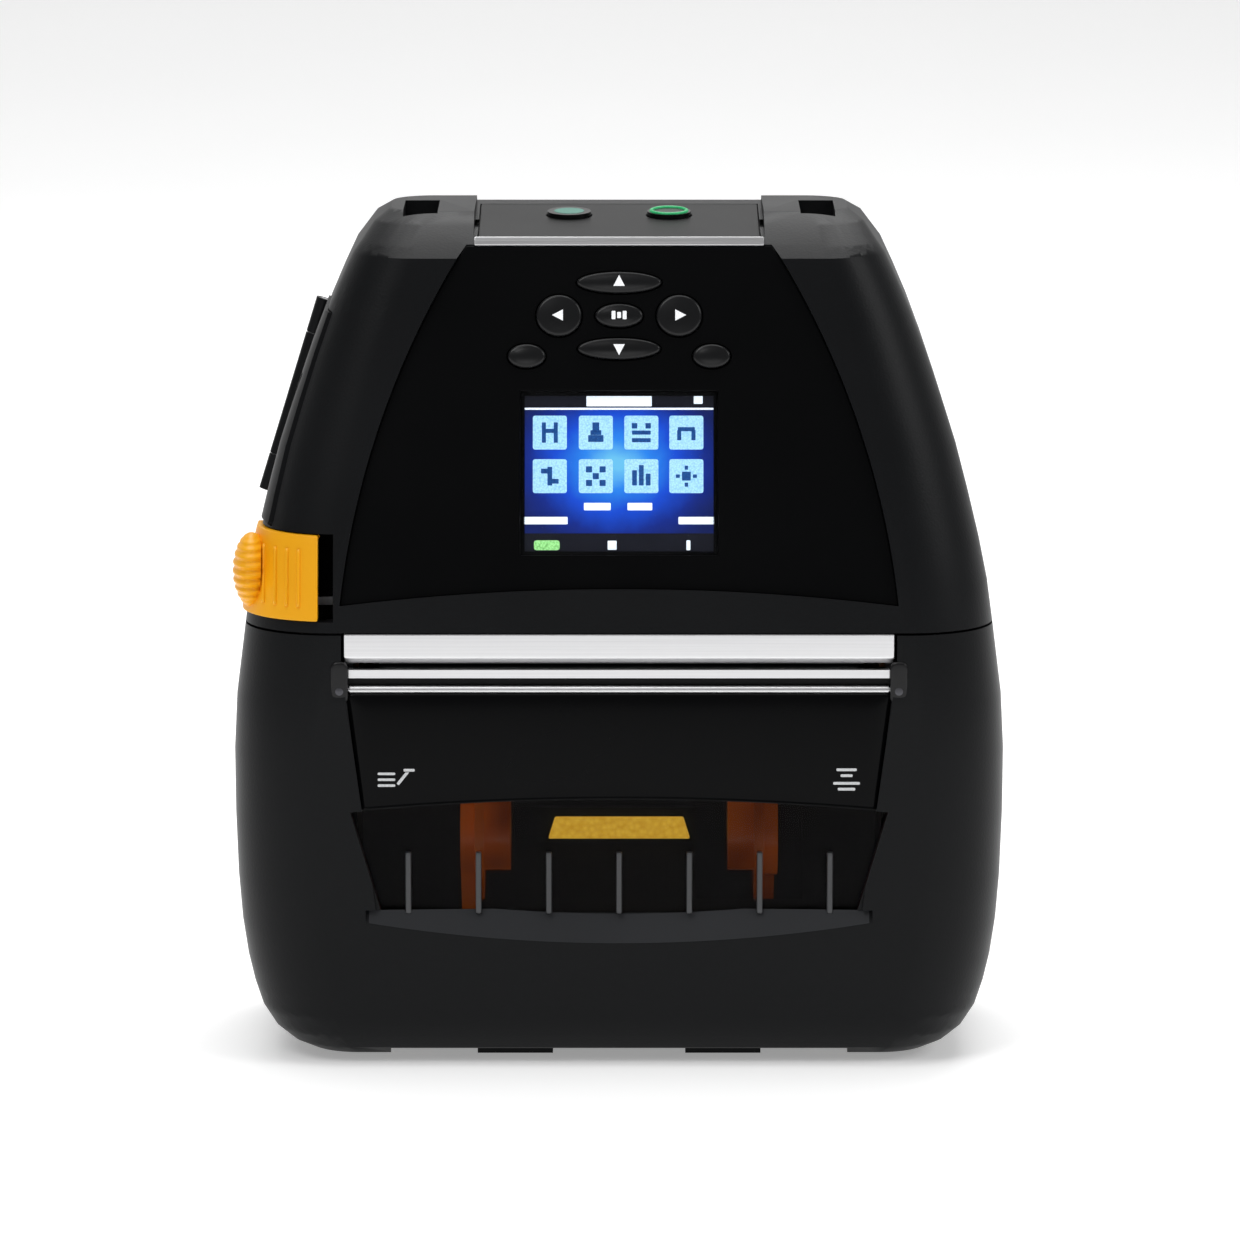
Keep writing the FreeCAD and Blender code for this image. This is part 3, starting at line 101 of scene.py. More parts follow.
def spotOf(name, up):
    # the middle of a node across and up a face
    co = verticesOf(nodes[name])
    along = co @ up
    return (co[:, 0].min() + co[:, 0].max()) / 2, (along.min() + along.max()) / 2


# ---- mesh making
def addMesh(name, verts, faces, smooth=True):
    mesh = bpy.data.meshes.new(name)
    mesh.from_pydata([tuple(v) for v in verts], [], [tuple(int(i) for i in f) for f in faces])
    mesh.validate()
    mesh.polygons.foreach_set("use_smooth", [smooth] * len(mesh.polygons))
    mesh.update()
    ob = bpy.data.objects.new(name, mesh)
    bpy.context.scene.collection.objects.link(ob)
    return ob


def gridFaces(rows, cols, closedCols=False, closedRows=False, start=0):
    # quads over a grid of points whose rows follow one another
    r = np.arange(rows if closedRows else rows - 1)
    c = np.arange(cols if closedCols else cols - 1)
    rr, cc = np.meshgrid(r, c, indexing="ij")
    r2, c2 = (rr + 1) % rows, (cc + 1) % cols
    quads = np.stack([rr * cols + cc, rr * cols + c2, r2 * cols + c2, r2 * cols + cc], -1)
    return (quads.reshape(-1, 4) + start).tolist()


def closedRings(name, rings, matrix=None, smooth=True):
    # rings: (rows, points, 3). Each ring is joined to the next, and a centre point closes each end ring
    rows, cols = rings.shape[:2]
    verts = np.concatenate([rings.reshape(-1, 3), rings[:1].mean(axis=1), rings[-1:].mean(axis=1)])
    if matrix is not None:
        verts = verts @ np.array(matrix.to_3x3()).T + np.array(matrix.translation)
    faces = gridFaces(rows, cols, closedCols=True)
    c = np.arange(cols)
    low, high = rows * cols, rows * cols + 1
    faces += [(low, (i + 1) % cols, i) for i in c]
    faces += [(high, (rows - 1) * cols + i, (rows - 1) * cols + (i + 1) % cols) for i in c]
    return addMesh(name, verts, faces, smooth)


def roundedOutline(halfU, halfV, corner, steps=6):
    # a rectangle with round corners, anticlockwise: corner centre plus radius times a unit circle's quarter
    corner = min(corner, halfU * 0.999, halfV * 0.999)
    quarter = np.linspace(0, math.pi / 2, steps)
    parts = []
    for k, (su, sv) in enumerate(((1, 1), (-1, 1), (-1, -1), (1, -1))):
        a = quarter + k * math.pi / 2
        u = su * (halfU - corner) + corner * np.cos(a)
        v = sv * (halfV - corner) + corner * np.sin(a)
        parts.append(np.stack([u, v], -1))
    return np.concatenate(parts)


def ovalOutline(halfU, halfV, count=40):
    a = np.linspace(0, 2 * math.pi, count, endpoint=False)
    return np.stack([halfU * np.cos(a), halfV * np.sin(a)], -1)


def pill(name, outline, centre, low, high, edge, matrix, dome=0.0):
    # an outline carried from low to high: it draws in along a quarter circle, then rises by dome * (1 - r^2)
    outline = np.asarray(outline)
    turn = np.linspace(0, math.pi / 2, 6)
    size = np.abs(outline).max(axis=0)
    scales = [np.ones(2)] + [1 - edge * (1 - math.cos(t)) / size for t in turn]
    heights = [low] + [high - edge + edge * math.sin(t) for t in turn]
    inner = scales[-1]
    for share in (0.8, 0.55, 0.3, 0.1):
        scales.append(inner * share)
        heights.append(high + dome * (1 - share**2))
    rings = []
    for scale, height in zip(scales, heights):
        rings.append(np.column_stack([outline * scale + centre, np.full(len(outline), height)]))
    return closedRings(name, np.array(rings), matrix)


def plate(name, outline, centre, low, high, matrix):
    # a flat sheet of that outline between two heights
    flat = np.asarray(outline) + centre
    rings = [np.column_stack([flat, np.full(len(flat), height)]) for height in (low, high)]
    return closedRings(name, np.array(rings), matrix, smooth=False)


def tube(name, path, radius, sides=12, closed=False):
    # a circle of that radius carried along a path, in the plane across it
    path = np.asarray(path, float)
    ahead = np.roll(path, -1, axis=0) - np.roll(path, 1, axis=0)
    if not closed:
        ahead[0], ahead[-1] = path[1] - path[0], path[-1] - path[-2]
    ahead /= np.linalg.norm(ahead, axis=1)[:, None]
    helper = np.where(np.abs(ahead[:, 2:3]) > 0.9, [[1.0, 0, 0]], [[0, 0, 1.0]])
    side = np.cross(ahead, helper)
    side /= np.linalg.norm(side, axis=1)[:, None]
    up = np.cross(side, ahead)
    a = np.linspace(0, 2 * math.pi, sides, endpoint=False)
    rings = path[:, None] + radius * (
        np.cos(a)[None, :, None] * side[:, None] + np.sin(a)[None, :, None] * up[:, None]
    )
    if closed:
        return addMesh(name, rings.reshape(-1, 3), gridFaces(len(path), sides, True, True))
    return closedRings(name, rings)


def joined(name, pieces):
    # several small meshes as one piece
    verts, faces, base = [], [], 0
    smooth = all(p.data.polygons[0].use_smooth for p in pieces)
    for p in pieces:
        verts.append(verticesOf(p))
        faces += [[base + i for i in f.vertices] for f in p.data.polygons]
        base += len(p.data.vertices)
        bpy.data.objects.remove(p)
    return addMesh(name, np.concatenate(verts), faces, smooth)


# ---- materials
def newMaterial(name):
    mat = bpy.data.materials.new(name)
    mat.use_nodes = True
    tree = mat.node_tree
    return mat, tree, tree.nodes["Principled BSDF"]


def addNode(tree, kind, **values):
    made = tree.nodes.new(kind)
    for key, value in values.items():
        if key in made.inputs:
            made.inputs[key].default_value = value
        else:
            setattr(made, key, value)
    return made


def colourMix(tree, factor, dark, light):
    # a ramp between two colours, driven by a number from 0 to 1
    ramp = tree.nodes.new("ShaderNodeValToRGB")
    ramp.color_ramp.elements[0].color = (*dark, 1)
    ramp.color_ramp.elements[1].color = (*light, 1)
    tree.links.new(factor, ramp.inputs["Fac"])
    return ramp


def feedFromObject(tree, *textures):
    # each piece's own coordinates drive its textures, so that the grain moves with it
    coords = addNode(tree, "ShaderNodeTexCoord")
    for texture in textures:
        tree.links.new(coords.outputs["Object"], texture.inputs["Vector"])


def spreadRoughness(tree, bsdf, factor, low, high):
    # roughness runs from low to high as the factor runs from 0 to 1
    spread = addNode(tree, "ShaderNodeMapRange", **{"To Min": low, "To Max": high})
    tree.links.new(factor, spread.inputs["Value"])
    tree.links.new(spread.outputs["Result"], bsdf.inputs["Roughness"])


def addRelief(tree, bsdf, height, strength, depth):
    bump = addNode(tree, "ShaderNodeBump", Strength=strength, Distance=depth)
    tree.links.new(height, bump.inputs["Height"])
    tree.links.new(bump.outputs["Normal"], bsdf.inputs["Normal"])


plasticGrain = dict(
    driftScale=28, grainScale=2600, cellShare=0.6, bump=0.25, depth=0.04 * mm, roughSpread=0.05, specular=0.5
)


def mouldedPlastic(name, look):
    # colour and gloss drift slowly, and noise added to fine cells gives the grain of a spark-eroded mould
    look = {**plasticGrain, **look}
    mat, tree, bsdf = newMaterial(name)
    drift = addNode(tree, "ShaderNodeTexNoise", Scale=look["driftScale"], Detail=3)
    grain = addNode(tree, "ShaderNodeTexNoise", Scale=look["grainScale"], Detail=2)
    cells = addNode(tree, "ShaderNodeTexVoronoi", Scale=look["grainScale"] * look["cellShare"])
    feedFromObject(tree, drift, grain, cells)
    ramp = colourMix(tree, drift.outputs["Fac"], look["dark"], look["light"])
    tree.links.new(ramp.outputs["Color"], bsdf.inputs["Base Color"])
    low, high = look["rough"] - look["roughSpread"], look["rough"] + look["roughSpread"]
    spreadRoughness(tree, bsdf, drift.outputs["Fac"], low, high)
    relief = addNode(tree, "ShaderNodeMath", operation="ADD")
    tree.links.new(grain.outputs["Fac"], relief.inputs[0])
    tree.links.new(cells.outputs["Distance"], relief.inputs[1])
    addRelief(tree, bsdf, relief.outputs["Value"], look["bump"], look["depth"])
    bsdf.inputs["Specular IOR Level"].default_value = look["specular"]
    return mat


metalGrain = dict(stretch=(20, 2400, 2400), roughSpread=0.08, bump=0.15, depth=0.03 * mm)


def brushedMetal(name, look):
    # fine scratches along X: noise stretched far along the brushing direction
    look = {**metalGrain, **look}
    mat, tree, bsdf = newMaterial(name)
    stretch = addNode(tree, "ShaderNodeMapping", Scale=look["stretch"])
    scratches = addNode(tree, "ShaderNodeTexNoise", Scale=1.0, Detail=4)
    feedFromObject(tree, stretch)
    tree.links.new(stretch.outputs["Vector"], scratches.inputs["Vector"])
    ramp = colourMix(tree, scratches.outputs["Fac"], look["dark"], look["light"])
    tree.links.new(ramp.outputs["Color"], bsdf.inputs["Base Color"])
    low, high = look["rough"] - look["roughSpread"], look["rough"] + look["roughSpread"]
    spreadRoughness(tree, bsdf, scratches.outputs["Fac"], low, high)
    addRelief(tree, bsdf, scratches.outputs["Fac"], look["bump"], look["depth"])
    bsdf.inputs["Metallic"].default_value = 1.0
    return mat


clearFlow = dict(flowScale=60, start=0.36, end=0.68, roughSpread=0.04, specular=0.5, glow=0.0)


def tintedClear(name, look):
    # clear plastic: a body colour, seen through by its alpha, with faint flow marks in its gloss; the body
    # colour also glows by the look's glow, which is painted light wherever it is above zero
    look = {**clearFlow, **look}
    mat, tree, bsdf = newMaterial(name)
    flow = addNode(tree, "ShaderNodeTexNoise", Scale=look["flowScale"], Detail=2)
    feedFromObject(tree, flow)
    ramp = colourMix(tree, flow.outputs["Fac"], look["dark"], look["light"])
    ramp.color_ramp.elements[0].position = look["start"]
    ramp.color_ramp.elements[1].position = look["end"]
    tree.links.new(ramp.outputs["Color"], bsdf.inputs["Base Color"])
    tree.links.new(ramp.outputs["Color"], bsdf.inputs["Emission Color"])
    spreadRoughness(tree, bsdf, flow.outputs["Fac"], look["rough"], look["rough"] + look["roughSpread"])
    bsdf.inputs["Alpha"].default_value = look["alpha"]
    bsdf.inputs["Specular IOR Level"].default_value = look["specular"]
    bsdf.inputs["Emission Strength"].default_value = look["glow"]
    return mat


litDots = dict(dotScale=2500, rough=0.4)


def litMark(name, look):
    # a glowing element, as a display's lit picture; on printed marks and the guide lock the glow is painted
    # light. Its glow wavers a little over fine cells, as a display's dots do
    look = {**litDots, **look}
    mat, tree, bsdf = newMaterial(name)
    dots = addNode(tree, "ShaderNodeTexVoronoi", Scale=look["dotScale"])
    feedFromObject(tree, dots)
    ramp = colourMix(tree, dots.outputs["Distance"], look["light"], look["dark"])
    tree.links.new(ramp.outputs["Color"], bsdf.inputs["Emission Color"])
    tree.links.new(ramp.outputs["Color"], bsdf.inputs["Base Color"])
    bsdf.inputs["Emission Strength"].default_value = look["glow"]
    bsdf.inputs["Roughness"].default_value = look["rough"]
    return mat


casingLook = dict(
    dark=(0.0026, 0.0029, 0.0034), light=(0.0042, 0.0047, 0.0055), rough=0.40, bump=0.3, specular=0.14
)
rubberLook = dict(
    dark=(0.0030, 0.0033, 0.0039), light=(0.0046, 0.0051, 0.0060), rough=0.42, bump=0.35, specular=0.16
)
panelLook = dict(
    dark=(0.0014, 0.0015, 0.0017),
    light=(0.0022, 0.0023, 0.0026),
    rough=0.34,
    bump=0.12,
    grainScale=3800,
    specular=0.07,
)
keyLook = dict(
    dark=(0.0036, 0.0037, 0.0042), light=(0.006, 0.0062, 0.007), rough=0.28, bump=0.08, specular=0.3
)
baySheetLook = dict(
    dark=(0.0016, 0.0017, 0.002), light=(0.0026, 0.0027, 0.003), rough=0.5, specular=0.08, bump=0.1
)
yellowLook = dict(dark=(0.86, 0.37, 0.003), light=(0.94, 0.44, 0.006), rough=0.4, bump=0.15, specular=0.3)
gearLook = dict(dark=(0.72, 0.70, 0.62), light=(0.82, 0.80, 0.74), rough=0.45, bump=0.1)
boardLook = dict(dark=(0.01, 0.09, 0.035), light=(0.02, 0.14, 0.06), rough=0.35, driftScale=420)
platenLook = dict(
    dark=(0.010, 0.010, 0.0105), light=(0.016, 0.016, 0.0165), rough=0.62, bump=0.3, grainScale=3200
)
darkSteelLook = dict(dark=(0.05, 0.05, 0.055), light=(0.10, 0.10, 0.11), rough=0.35)
steelLook = dict(dark=(0.36, 0.36, 0.38), light=(0.62, 0.62, 0.64), rough=0.3)
barLook = dict(dark=(0.66, 0.66, 0.67), light=(0.86, 0.86, 0.87), rough=0.38)
aluminiumLook = dict(dark=(0.55, 0.55, 0.57), light=(0.72, 0.72, 0.74), rough=0.36)
smokeLook = dict(
    dark=(0.001, 0.001, 0.0012), light=(0.0018, 0.0018, 0.002), rough=0.05, alpha=0.34, specular=0.1
)
lensLook = dict(
    dark=(0.001, 0.001, 0.0012), light=(0.0016, 0.0016, 0.002), rough=0.05, alpha=0.05, specular=0.08
)
# painted light: the amber guide parts glow a little, though they are no lamp
amberGlowLook = dict(
    dark=(0.26, 0.038, 0.002), light=(0.80, 0.17, 0.008), rough=0.2, alpha=0.92, glow=0.2, flowScale=45
)
# painted light: the guide lock's yellow is made to glow, standing in for light that reaches it through the
# window
lockGlowLook = dict(dark=(0.70, 0.36, 0.02), light=(0.95, 0.60, 0.06), glow=1.25, dotScale=900)

casing = mouldedPlastic("casingPlastic", casingLook)
bumper = mouldedPlastic("bumperRubber", rubberLook)
panelSatin = mouldedPlastic("panelSatin", panelLook)
keyRubber = mouldedPlastic("keyRubber", keyLook)
baySheet = mouldedPlastic("baySheet", baySheetLook)
yellow = mouldedPlastic("yellowPlastic", yellowLook)
lockYellowGlow = litMark("lockYellowGlow", lockGlowLook)
gearPlastic = mouldedPlastic("gearPlastic", gearLook)
board = mouldedPlastic("boardMask", boardLook)
platenRubber = mouldedPlastic("platenRubber", platenLook)
steel = brushedMetal("steel", steelLook)
darkSteel = brushedMetal("darkSteel", darkSteelLook)
brightBar = brushedMetal("brightBar", barLook)
aluminium = brushedMetal("aluminium", aluminiumLook)
smoke = tintedClear("smokedWindow", smokeLook)
lensClear = tintedClear("lensClear", lensLook)
amberGlow = tintedClear("amberPlasticGlow", amberGlowLook)
print("materials made")

panelKeys = ["key_up", "key_ok", "key_down", "key_left", "key_right", "key_soft_left", "key_soft_right"]
nodeMaterials = {
    casing: [
        "media_cover", "rear_housing", "port_door", "battery", "battery_latch", "belt_clip", "platen_bracket",
    ],
    bumper: ["upper_housing"],
    panelSatin: ["control_panel", "top_plate", "display_module", "port_block"],
    keyRubber: panelKeys + ["power_button", "feed_button"],
    baySheet: ["media_tub"],
    yellow: ["latch_button"],
    lockYellowGlow: ["guide_lock"],
    gearPlastic: ["platen_gear", "idler_gear", "motor_pinion", "guide_pinion"],
    board: ["key_board", "main_board", "gap_sensor"],
    platenRubber: ["platen_roller"],
    steel: [
        "cover_hinge_pin", "head_pivot", "platen_shaft", "strap_bar_left", "strap_bar_right",
        "door_pin", "clip_pin",
    ],
    brightBar: ["tear_bar", "peel_bar", "trim_bar", "peel_roller"],
    aluminium: [
        "print_head", "drive_motor", "print_frame", "latch_bar", "screws_upper", "screws_lower",
    ],
    smoke: ["cover_window"],
    lensClear: ["display_lens"],
    amberGlow: [
        "guide_arm_left", "guide_arm_right", "guide_rack_left", "guide_rack_right",
        "guide_disc_left", "guide_disc_right",
    ],
}
bevelled = [
    "media_cover", "rear_housing", "upper_housing", "control_panel", "port_door", "battery",
    "battery_latch", "belt_clip", "latch_button", "tear_bar", "trim_bar", "top_plate", "guide_lock",
    "media_tub", "platen_bracket",
]
nodeFinish = dict(
    weld=0.004 * mm,
    flatAngle=math.radians(0.2),
    bevelWidth=0.35 * mm,
    bevelSegments=2,
    bevelAngle=math.radians(32),
    creaseAngle=math.radians(30),
    normalWeight=60,
)


def dressNode(ob, mat):
    # the node's own mesh stays: modifiers weld its triangles, round its sharp edges and smooth its curves
    for slot in ob.material_slots:
        slot.material = mat
    if not ob.material_slots:
        ob.data.materials.append(mat)
    ob.data.polygons.foreach_set("use_smooth", [True] * len(ob.data.polygons))
    weld = ob.modifiers.new("weld", "WELD")
    weld.merge_threshold = nodeFinish["weld"]
    if ob.name in bevelled:
        flat = ob.modifiers.new("joinFlats", "DECIMATE")
        flat.decimate_type = "DISSOLVE"
        flat.angle_limit = nodeFinish["flatAngle"]
        bevel = ob.modifiers.new("softEdges", "BEVEL")
        bevel.width = nodeFinish["bevelWidth"]
        bevel.segments = nodeFinish["bevelSegments"]
        bevel.limit_method = "ANGLE"
        bevel.angle_limit = nodeFinish["bevelAngle"]
        bevel.use_clamp_overlap = True
        bevel.harden_normals = False
    split = ob.modifiers.new("crease", "EDGE_SPLIT")
    split.split_angle = nodeFinish["creaseAngle"]
    split.use_edge_sharp = False
    flatten = ob.modifiers.new("flatFaces", "WEIGHTED_NORMAL")
    flatten.keep_sharp = True
    flatten.weight = nodeFinish["normalWeight"]


for mat, names in nodeMaterials.items():
    for name in names:
        dressNode(nodes[name], mat)
print("nodes dressed")

# ---- camera, floor and light
shot = dict(elevation=10, distance=1.55, aim=(0.0002, -0.030, 0.0970), widthShown=0.2692, sensor=36)


def makeCamera():
    e = math.radians(shot["elevation"])
    back = Vector((0, -math.cos(e), math.sin(e)))
    data = bpy.data.cameras.new("camera")
    camera = bpy.data.objects.new("camera", data)
    bpy.context.scene.collection.objects.link(camera)
    camera.location = Vector(shot["aim"]) + back * shot["distance"]
    camera.rotation_mode = "QUATERNION"
    camera.rotation_quaternion = (-back).to_track_quat("-Z", "Y")
    data.sensor_width = shot["sensor"]
    data.lens = shot["sensor"] * shot["distance"] / shot["widthShown"]
    data.clip_start, data.clip_end = 0.05, 50
    bpy.context.scene.camera = camera


floorShape = dict(halfAcross=6, front=-5, back=7, bendFrom=1.5, bend=0.35, drop=0.05 * mm)
floorLook = dict(
    dark=(0.90, 0.90, 0.90), light=(0.93, 0.93, 0.93), fibreScale=9, rough=0.9, specular=0.1, glow=0.3
)


def makeFloor():
    # a pale studio sweep: flat near the object, then its height is bend * (y - bendFrom)^2
    u = np.linspace(-floorShape["halfAcross"], floorShape["halfAcross"], 41)
    v = np.linspace(floorShape["front"], floorShape["back"], 121)
    uu, vv = np.meshgrid(u, v)
    rise = floorShape["bend"] * np.maximum(vv - floorShape["bendFrom"], 0) ** 2
    verts = np.stack([uu, vv, rise - floorShape["drop"]], -1).reshape(-1, 3)
    floor = addMesh("floor", verts, gridFaces(len(v), len(u)))
    mat, tree, bsdf = newMaterial("floorPaper")
    fibre = addNode(tree, "ShaderNodeTexNoise", Scale=floorLook["fibreScale"], Detail=4)
    feedFromObject(tree, fibre)
    ramp = colourMix(tree, fibre.outputs["Fac"], floorLook["dark"], floorLook["light"])
    tree.links.new(ramp.outputs["Color"], bsdf.inputs["Base Color"])
    bsdf.inputs["Roughness"].default_value = floorLook["rough"]
    bsdf.inputs["Specular IOR Level"].default_value = floorLook["specular"]
    bsdf.inputs["Emission Color"].default_value = (1, 1, 1, 1)
    bsdf.inputs["Emission Strength"].default_value = floorLook["glow"]
    floor.data.materials.append(mat)


lampLooks = {
    "keyLamp": dict(place=(-0.7, -0.9, 1.5), size=0.7, watts=8),
    "rightLamp": dict(place=(1.3, -0.5, 1.0), size=0.7, watts=6),
    "backLamp": dict(place=(0.2, 1.0, 1.3), size=1.0, watts=9),
    "topLamp": dict(place=(0.0, 0.2, 1.7), size=1.4, watts=17),
}
lampAim = Vector((0, 0, 90 * mm))
skyLevels = {"To Min": 0.22, "To Max": 1.0}


def makeLights():
    for name, look in lampLooks.items():
        data = bpy.data.lights.new(name, "AREA")
        data.shape = "SQUARE"
        data.size = look["size"]
        data.energy = look["watts"]
        lamp = bpy.data.objects.new(name, data)
        bpy.context.scene.collection.objects.link(lamp)
        lamp.location = look["place"]
        aim = lampAim - lamp.location
        lamp.rotation_mode = "QUATERNION"
        lamp.rotation_quaternion = aim.to_track_quat("-Z", "Y")
    world = bpy.data.worlds.new("studio")
    world.use_nodes = True
    tree = world.node_tree
    # the camera sees plain white behind the sweep, while the object is lit by a dimmer sky
    seen = addNode(tree, "ShaderNodeLightPath")
    level = addNode(tree, "ShaderNodeMapRange", **skyLevels)
    tree.links.new(seen.outputs["Is Camera Ray"], level.inputs["Value"])
    tree.links.new(level.outputs["Result"], tree.nodes["Background"].inputs["Strength"])
    tree.nodes["Background"].inputs["Color"].default_value = (1, 1, 1, 1)
    bpy.context.scene.world = world


makeCamera()
makeFloor()
makeLights()
bpy.context.scene.view_settings.view_transform = "Standard"
print("camera, floor and light made")


def dress(ob, mat, body):
    ob.data.materials.clear()
    ob.data.materials.append(mat)
    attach(ob, body)
    return ob


# ---- keys: a soft rubber cap with a rounded rim and a low dome, and a pale printed mark with a painted glow on the ones that need it
keyDome = dict(edge=0.75 * mm, dome=0.4 * mm, aboveFace=0.2 * mm)
keyMarks = dict(size=1.5 * mm, lift=0.03 * mm, deep=0.3 * mm)
okBars = dict(shifts=(-1.2, 0, 1.2), halfWide=0.42 * mm, halfHigh=(0.9, 0.65, 0.9), corner=0.15 * mm)
keyArrows = {"key_up": 90, "key_left": 180, "key_down": 270, "key_right": 0}
# the printed key marks glow a little: painted light, since print is no lamp
markGlowLook = dict(dark=(0.55, 0.56, 0.58), light=(0.80, 0.81, 0.83), glow=0.55, dotScale=4000)
markPaintGlow = litMark("markPaintGlow", markGlowLook)


def keyExtent(name):
    # half width, half height, lowest and highest level of a key, all measured on the panel's face
    co = verticesOf(nodes[name])
    out = co @ panelOut - panelFace
    along = co @ panelUp
    cap = out > keyDome["aboveFace"]
    halfU = (co[cap, 0].max() - co[cap, 0].min()) / 2
    halfV = (along[cap].max() - along[cap].min()) / 2
    return halfU, halfV, out.min(), out.max()


def makeKey(name):
    # an ellipse that draws in by a quarter circle at its rim, then rises by dome * (1 - r^2) to the middle
    halfU, halfV, low, high = keyExtent(name)
    centre = spotOf(name, panelUp)
    top = high - keyDome["dome"] / 2
    outline = ovalOutline(halfU, halfV, 48)
    cap = pill(name + "Cap", outline, centre, low, top, keyDome["edge"], panelFrame, keyDome["dome"])
    dress(cap, keyRubber, name + "_body")
    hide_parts(name)
    return centre, top + keyDome["dome"]


def arrowOutline(size, degrees):
    # three corners on a circle, the first one in the pointing direction; a little narrower across
    a = np.radians(degrees + np.array([0, 125, 235]))
    return size * np.stack([np.cos(a), np.sin(a)], -1)


for name in panelKeys:
    centre, top = makeKey(name)
    low = top - keyMarks["deep"]
    high = top + keyMarks["lift"]
    if name in keyArrows:
        outline = arrowOutline(keyMarks["size"], keyArrows[name])
        mark = plate(name + "Arrow", outline, centre, low, high, panelFrame)
        dress(mark, markPaintGlow, name + "_body")
    if name == "key_ok":
        bars = []
        for shift, halfHigh in zip(okBars["shifts"], okBars["halfHigh"]):
            outline = roundedOutline(okBars["halfWide"], halfHigh * mm, okBars["corner"])
            spot = np.array(centre) + (shift * mm, 0)
            bars.append(plate("okBar", outline, spot, low, high, panelFrame))
        dress(joined("okMark", bars), markPaintGlow, name + "_body")
print("keys made")

# ---- display: a lit sheet over the module, with generic icons on it, all behind the clear lens
screenFront = frontOf("display_module", keySlide) - panelFace
screenCentre = np.array(spotOf("display_lens", panelUp))
lensCo = verticesOf(nodes["display_lens"])
screenHalf = np.array([np.ptp(lensCo[:, 0]), np.ptp(lensCo @ panelUp)]) / 2
sheetLevels = dict(glow=0.05 * mm, bar=0.09 * mm, tile=0.13 * mm, glyph=0.17 * mm)
sheetThick = 0.03 * mm
tileHalf = 0.172 * screenHalf[0]
tileColumns = [-0.70, -0.235, 0.225, 0.68]
tileRows = [0.50, -0.03]
# each glyph is a few bars: (across, up, half width, half height), in shares of a tile's half size
glyphs = [
    [(-0.35, 0, 0.12, 0.6), (0.35, 0, 0.12, 0.6), (0, 0.1, 0.3, 0.12)],
    [(0, 0.3, 0.2, 0.3), (0, -0.35, 0.45, 0.2), (0, 0, 0.32, 0.14)],
    [(-0.4, 0.4, 0.16, 0.16), (0.4, 0.4, 0.16, 0.16), (0, 0, 0.55, 0.12), (0, -0.45, 0.55, 0.12)],
    [(0, 0.2, 0.5, 0.12), (-0.42, -0.15, 0.12, 0.3), (0.42, -0.15, 0.12, 0.3)],
    [(-0.3, 0.3, 0.22, 0.14), (0.3, -0.3, 0.22, 0.14), (0, 0, 0.14, 0.55)],
    [(u, v, 0.18, 0.18) for u, v in ((-0.4, 0.4), (0.4, 0.4), (0, 0), (-0.4, -0.4), (0.4, -0.4))],
    [(-0.4, -0.1, 0.14, 0.45), (0, 0.05, 0.14, 0.6), (0.4, -0.2, 0.14, 0.35)],
    [(0, 0, 0.26, 0.26), (0, 0.5, 0.1, 0.12), (0, -0.5, 0.1, 0.12)]
    + [(0.5, 0, 0.12, 0.1), (-0.5, 0, 0.12, 0.1)],
]
# strips of the picture: (across, up, half width, half height), in shares of the screen's half size
strips = {
    "titleTab": (0.0, 0.905, 0.33, 0.085),
    "titleLine": (0.0, 0.79, 0.96, 0.012),
    "signalMark": (0.80, 0.90, 0.045, 0.05),
    "captionLeft": (-0.22, -0.40, 0.135, 0.045),
    "captionRight": (0.21, -0.40, 0.125, 0.045),
    "softWordLeft": (-0.74, -0.57, 0.22, 0.045),
    "softWordRight": (0.78, -0.57, 0.18, 0.045),
    "paperMark": (-0.07, -0.87, 0.045, 0.055),
    "alertMark": (0.70, -0.87, 0.02, 0.06),
}


def onScreen(share):
    return screenCentre + np.array(share) * screenHalf


def screenSheet(name, outline, centre, level):
    # a thin sheet in front of the display module
    high = screenFront + level
    return plate(name, outline, centre, high - sheetThick, high, panelFrame)


def strip(name, box, level, corner=0.15 * mm):
    outline = roundedOutline(box[2] * screenHalf[0], box[3] * screenHalf[1], corner, 3)
    return screenSheet(name, outline, onScreen(box[:2]), level)


glowLook = dict(
    heart=(-0.02, 0.12),
    reach=(24 * mm, 24 * mm, 19 * mm),
    cellScale=260,
    cellShare=0.14,
    rim=(0.000, 0.004, 0.05),
    blues=((0.28, (0.0, 0.018, 0.26)), (0.52, (0.002, 0.075, 0.72)), (0.78, (0.02, 0.26, 0.95))),
    centre=(0.16, 0.62, 1.0),
    base=(0.0, 0.003, 0.02, 1),
    rough=0.4,
)


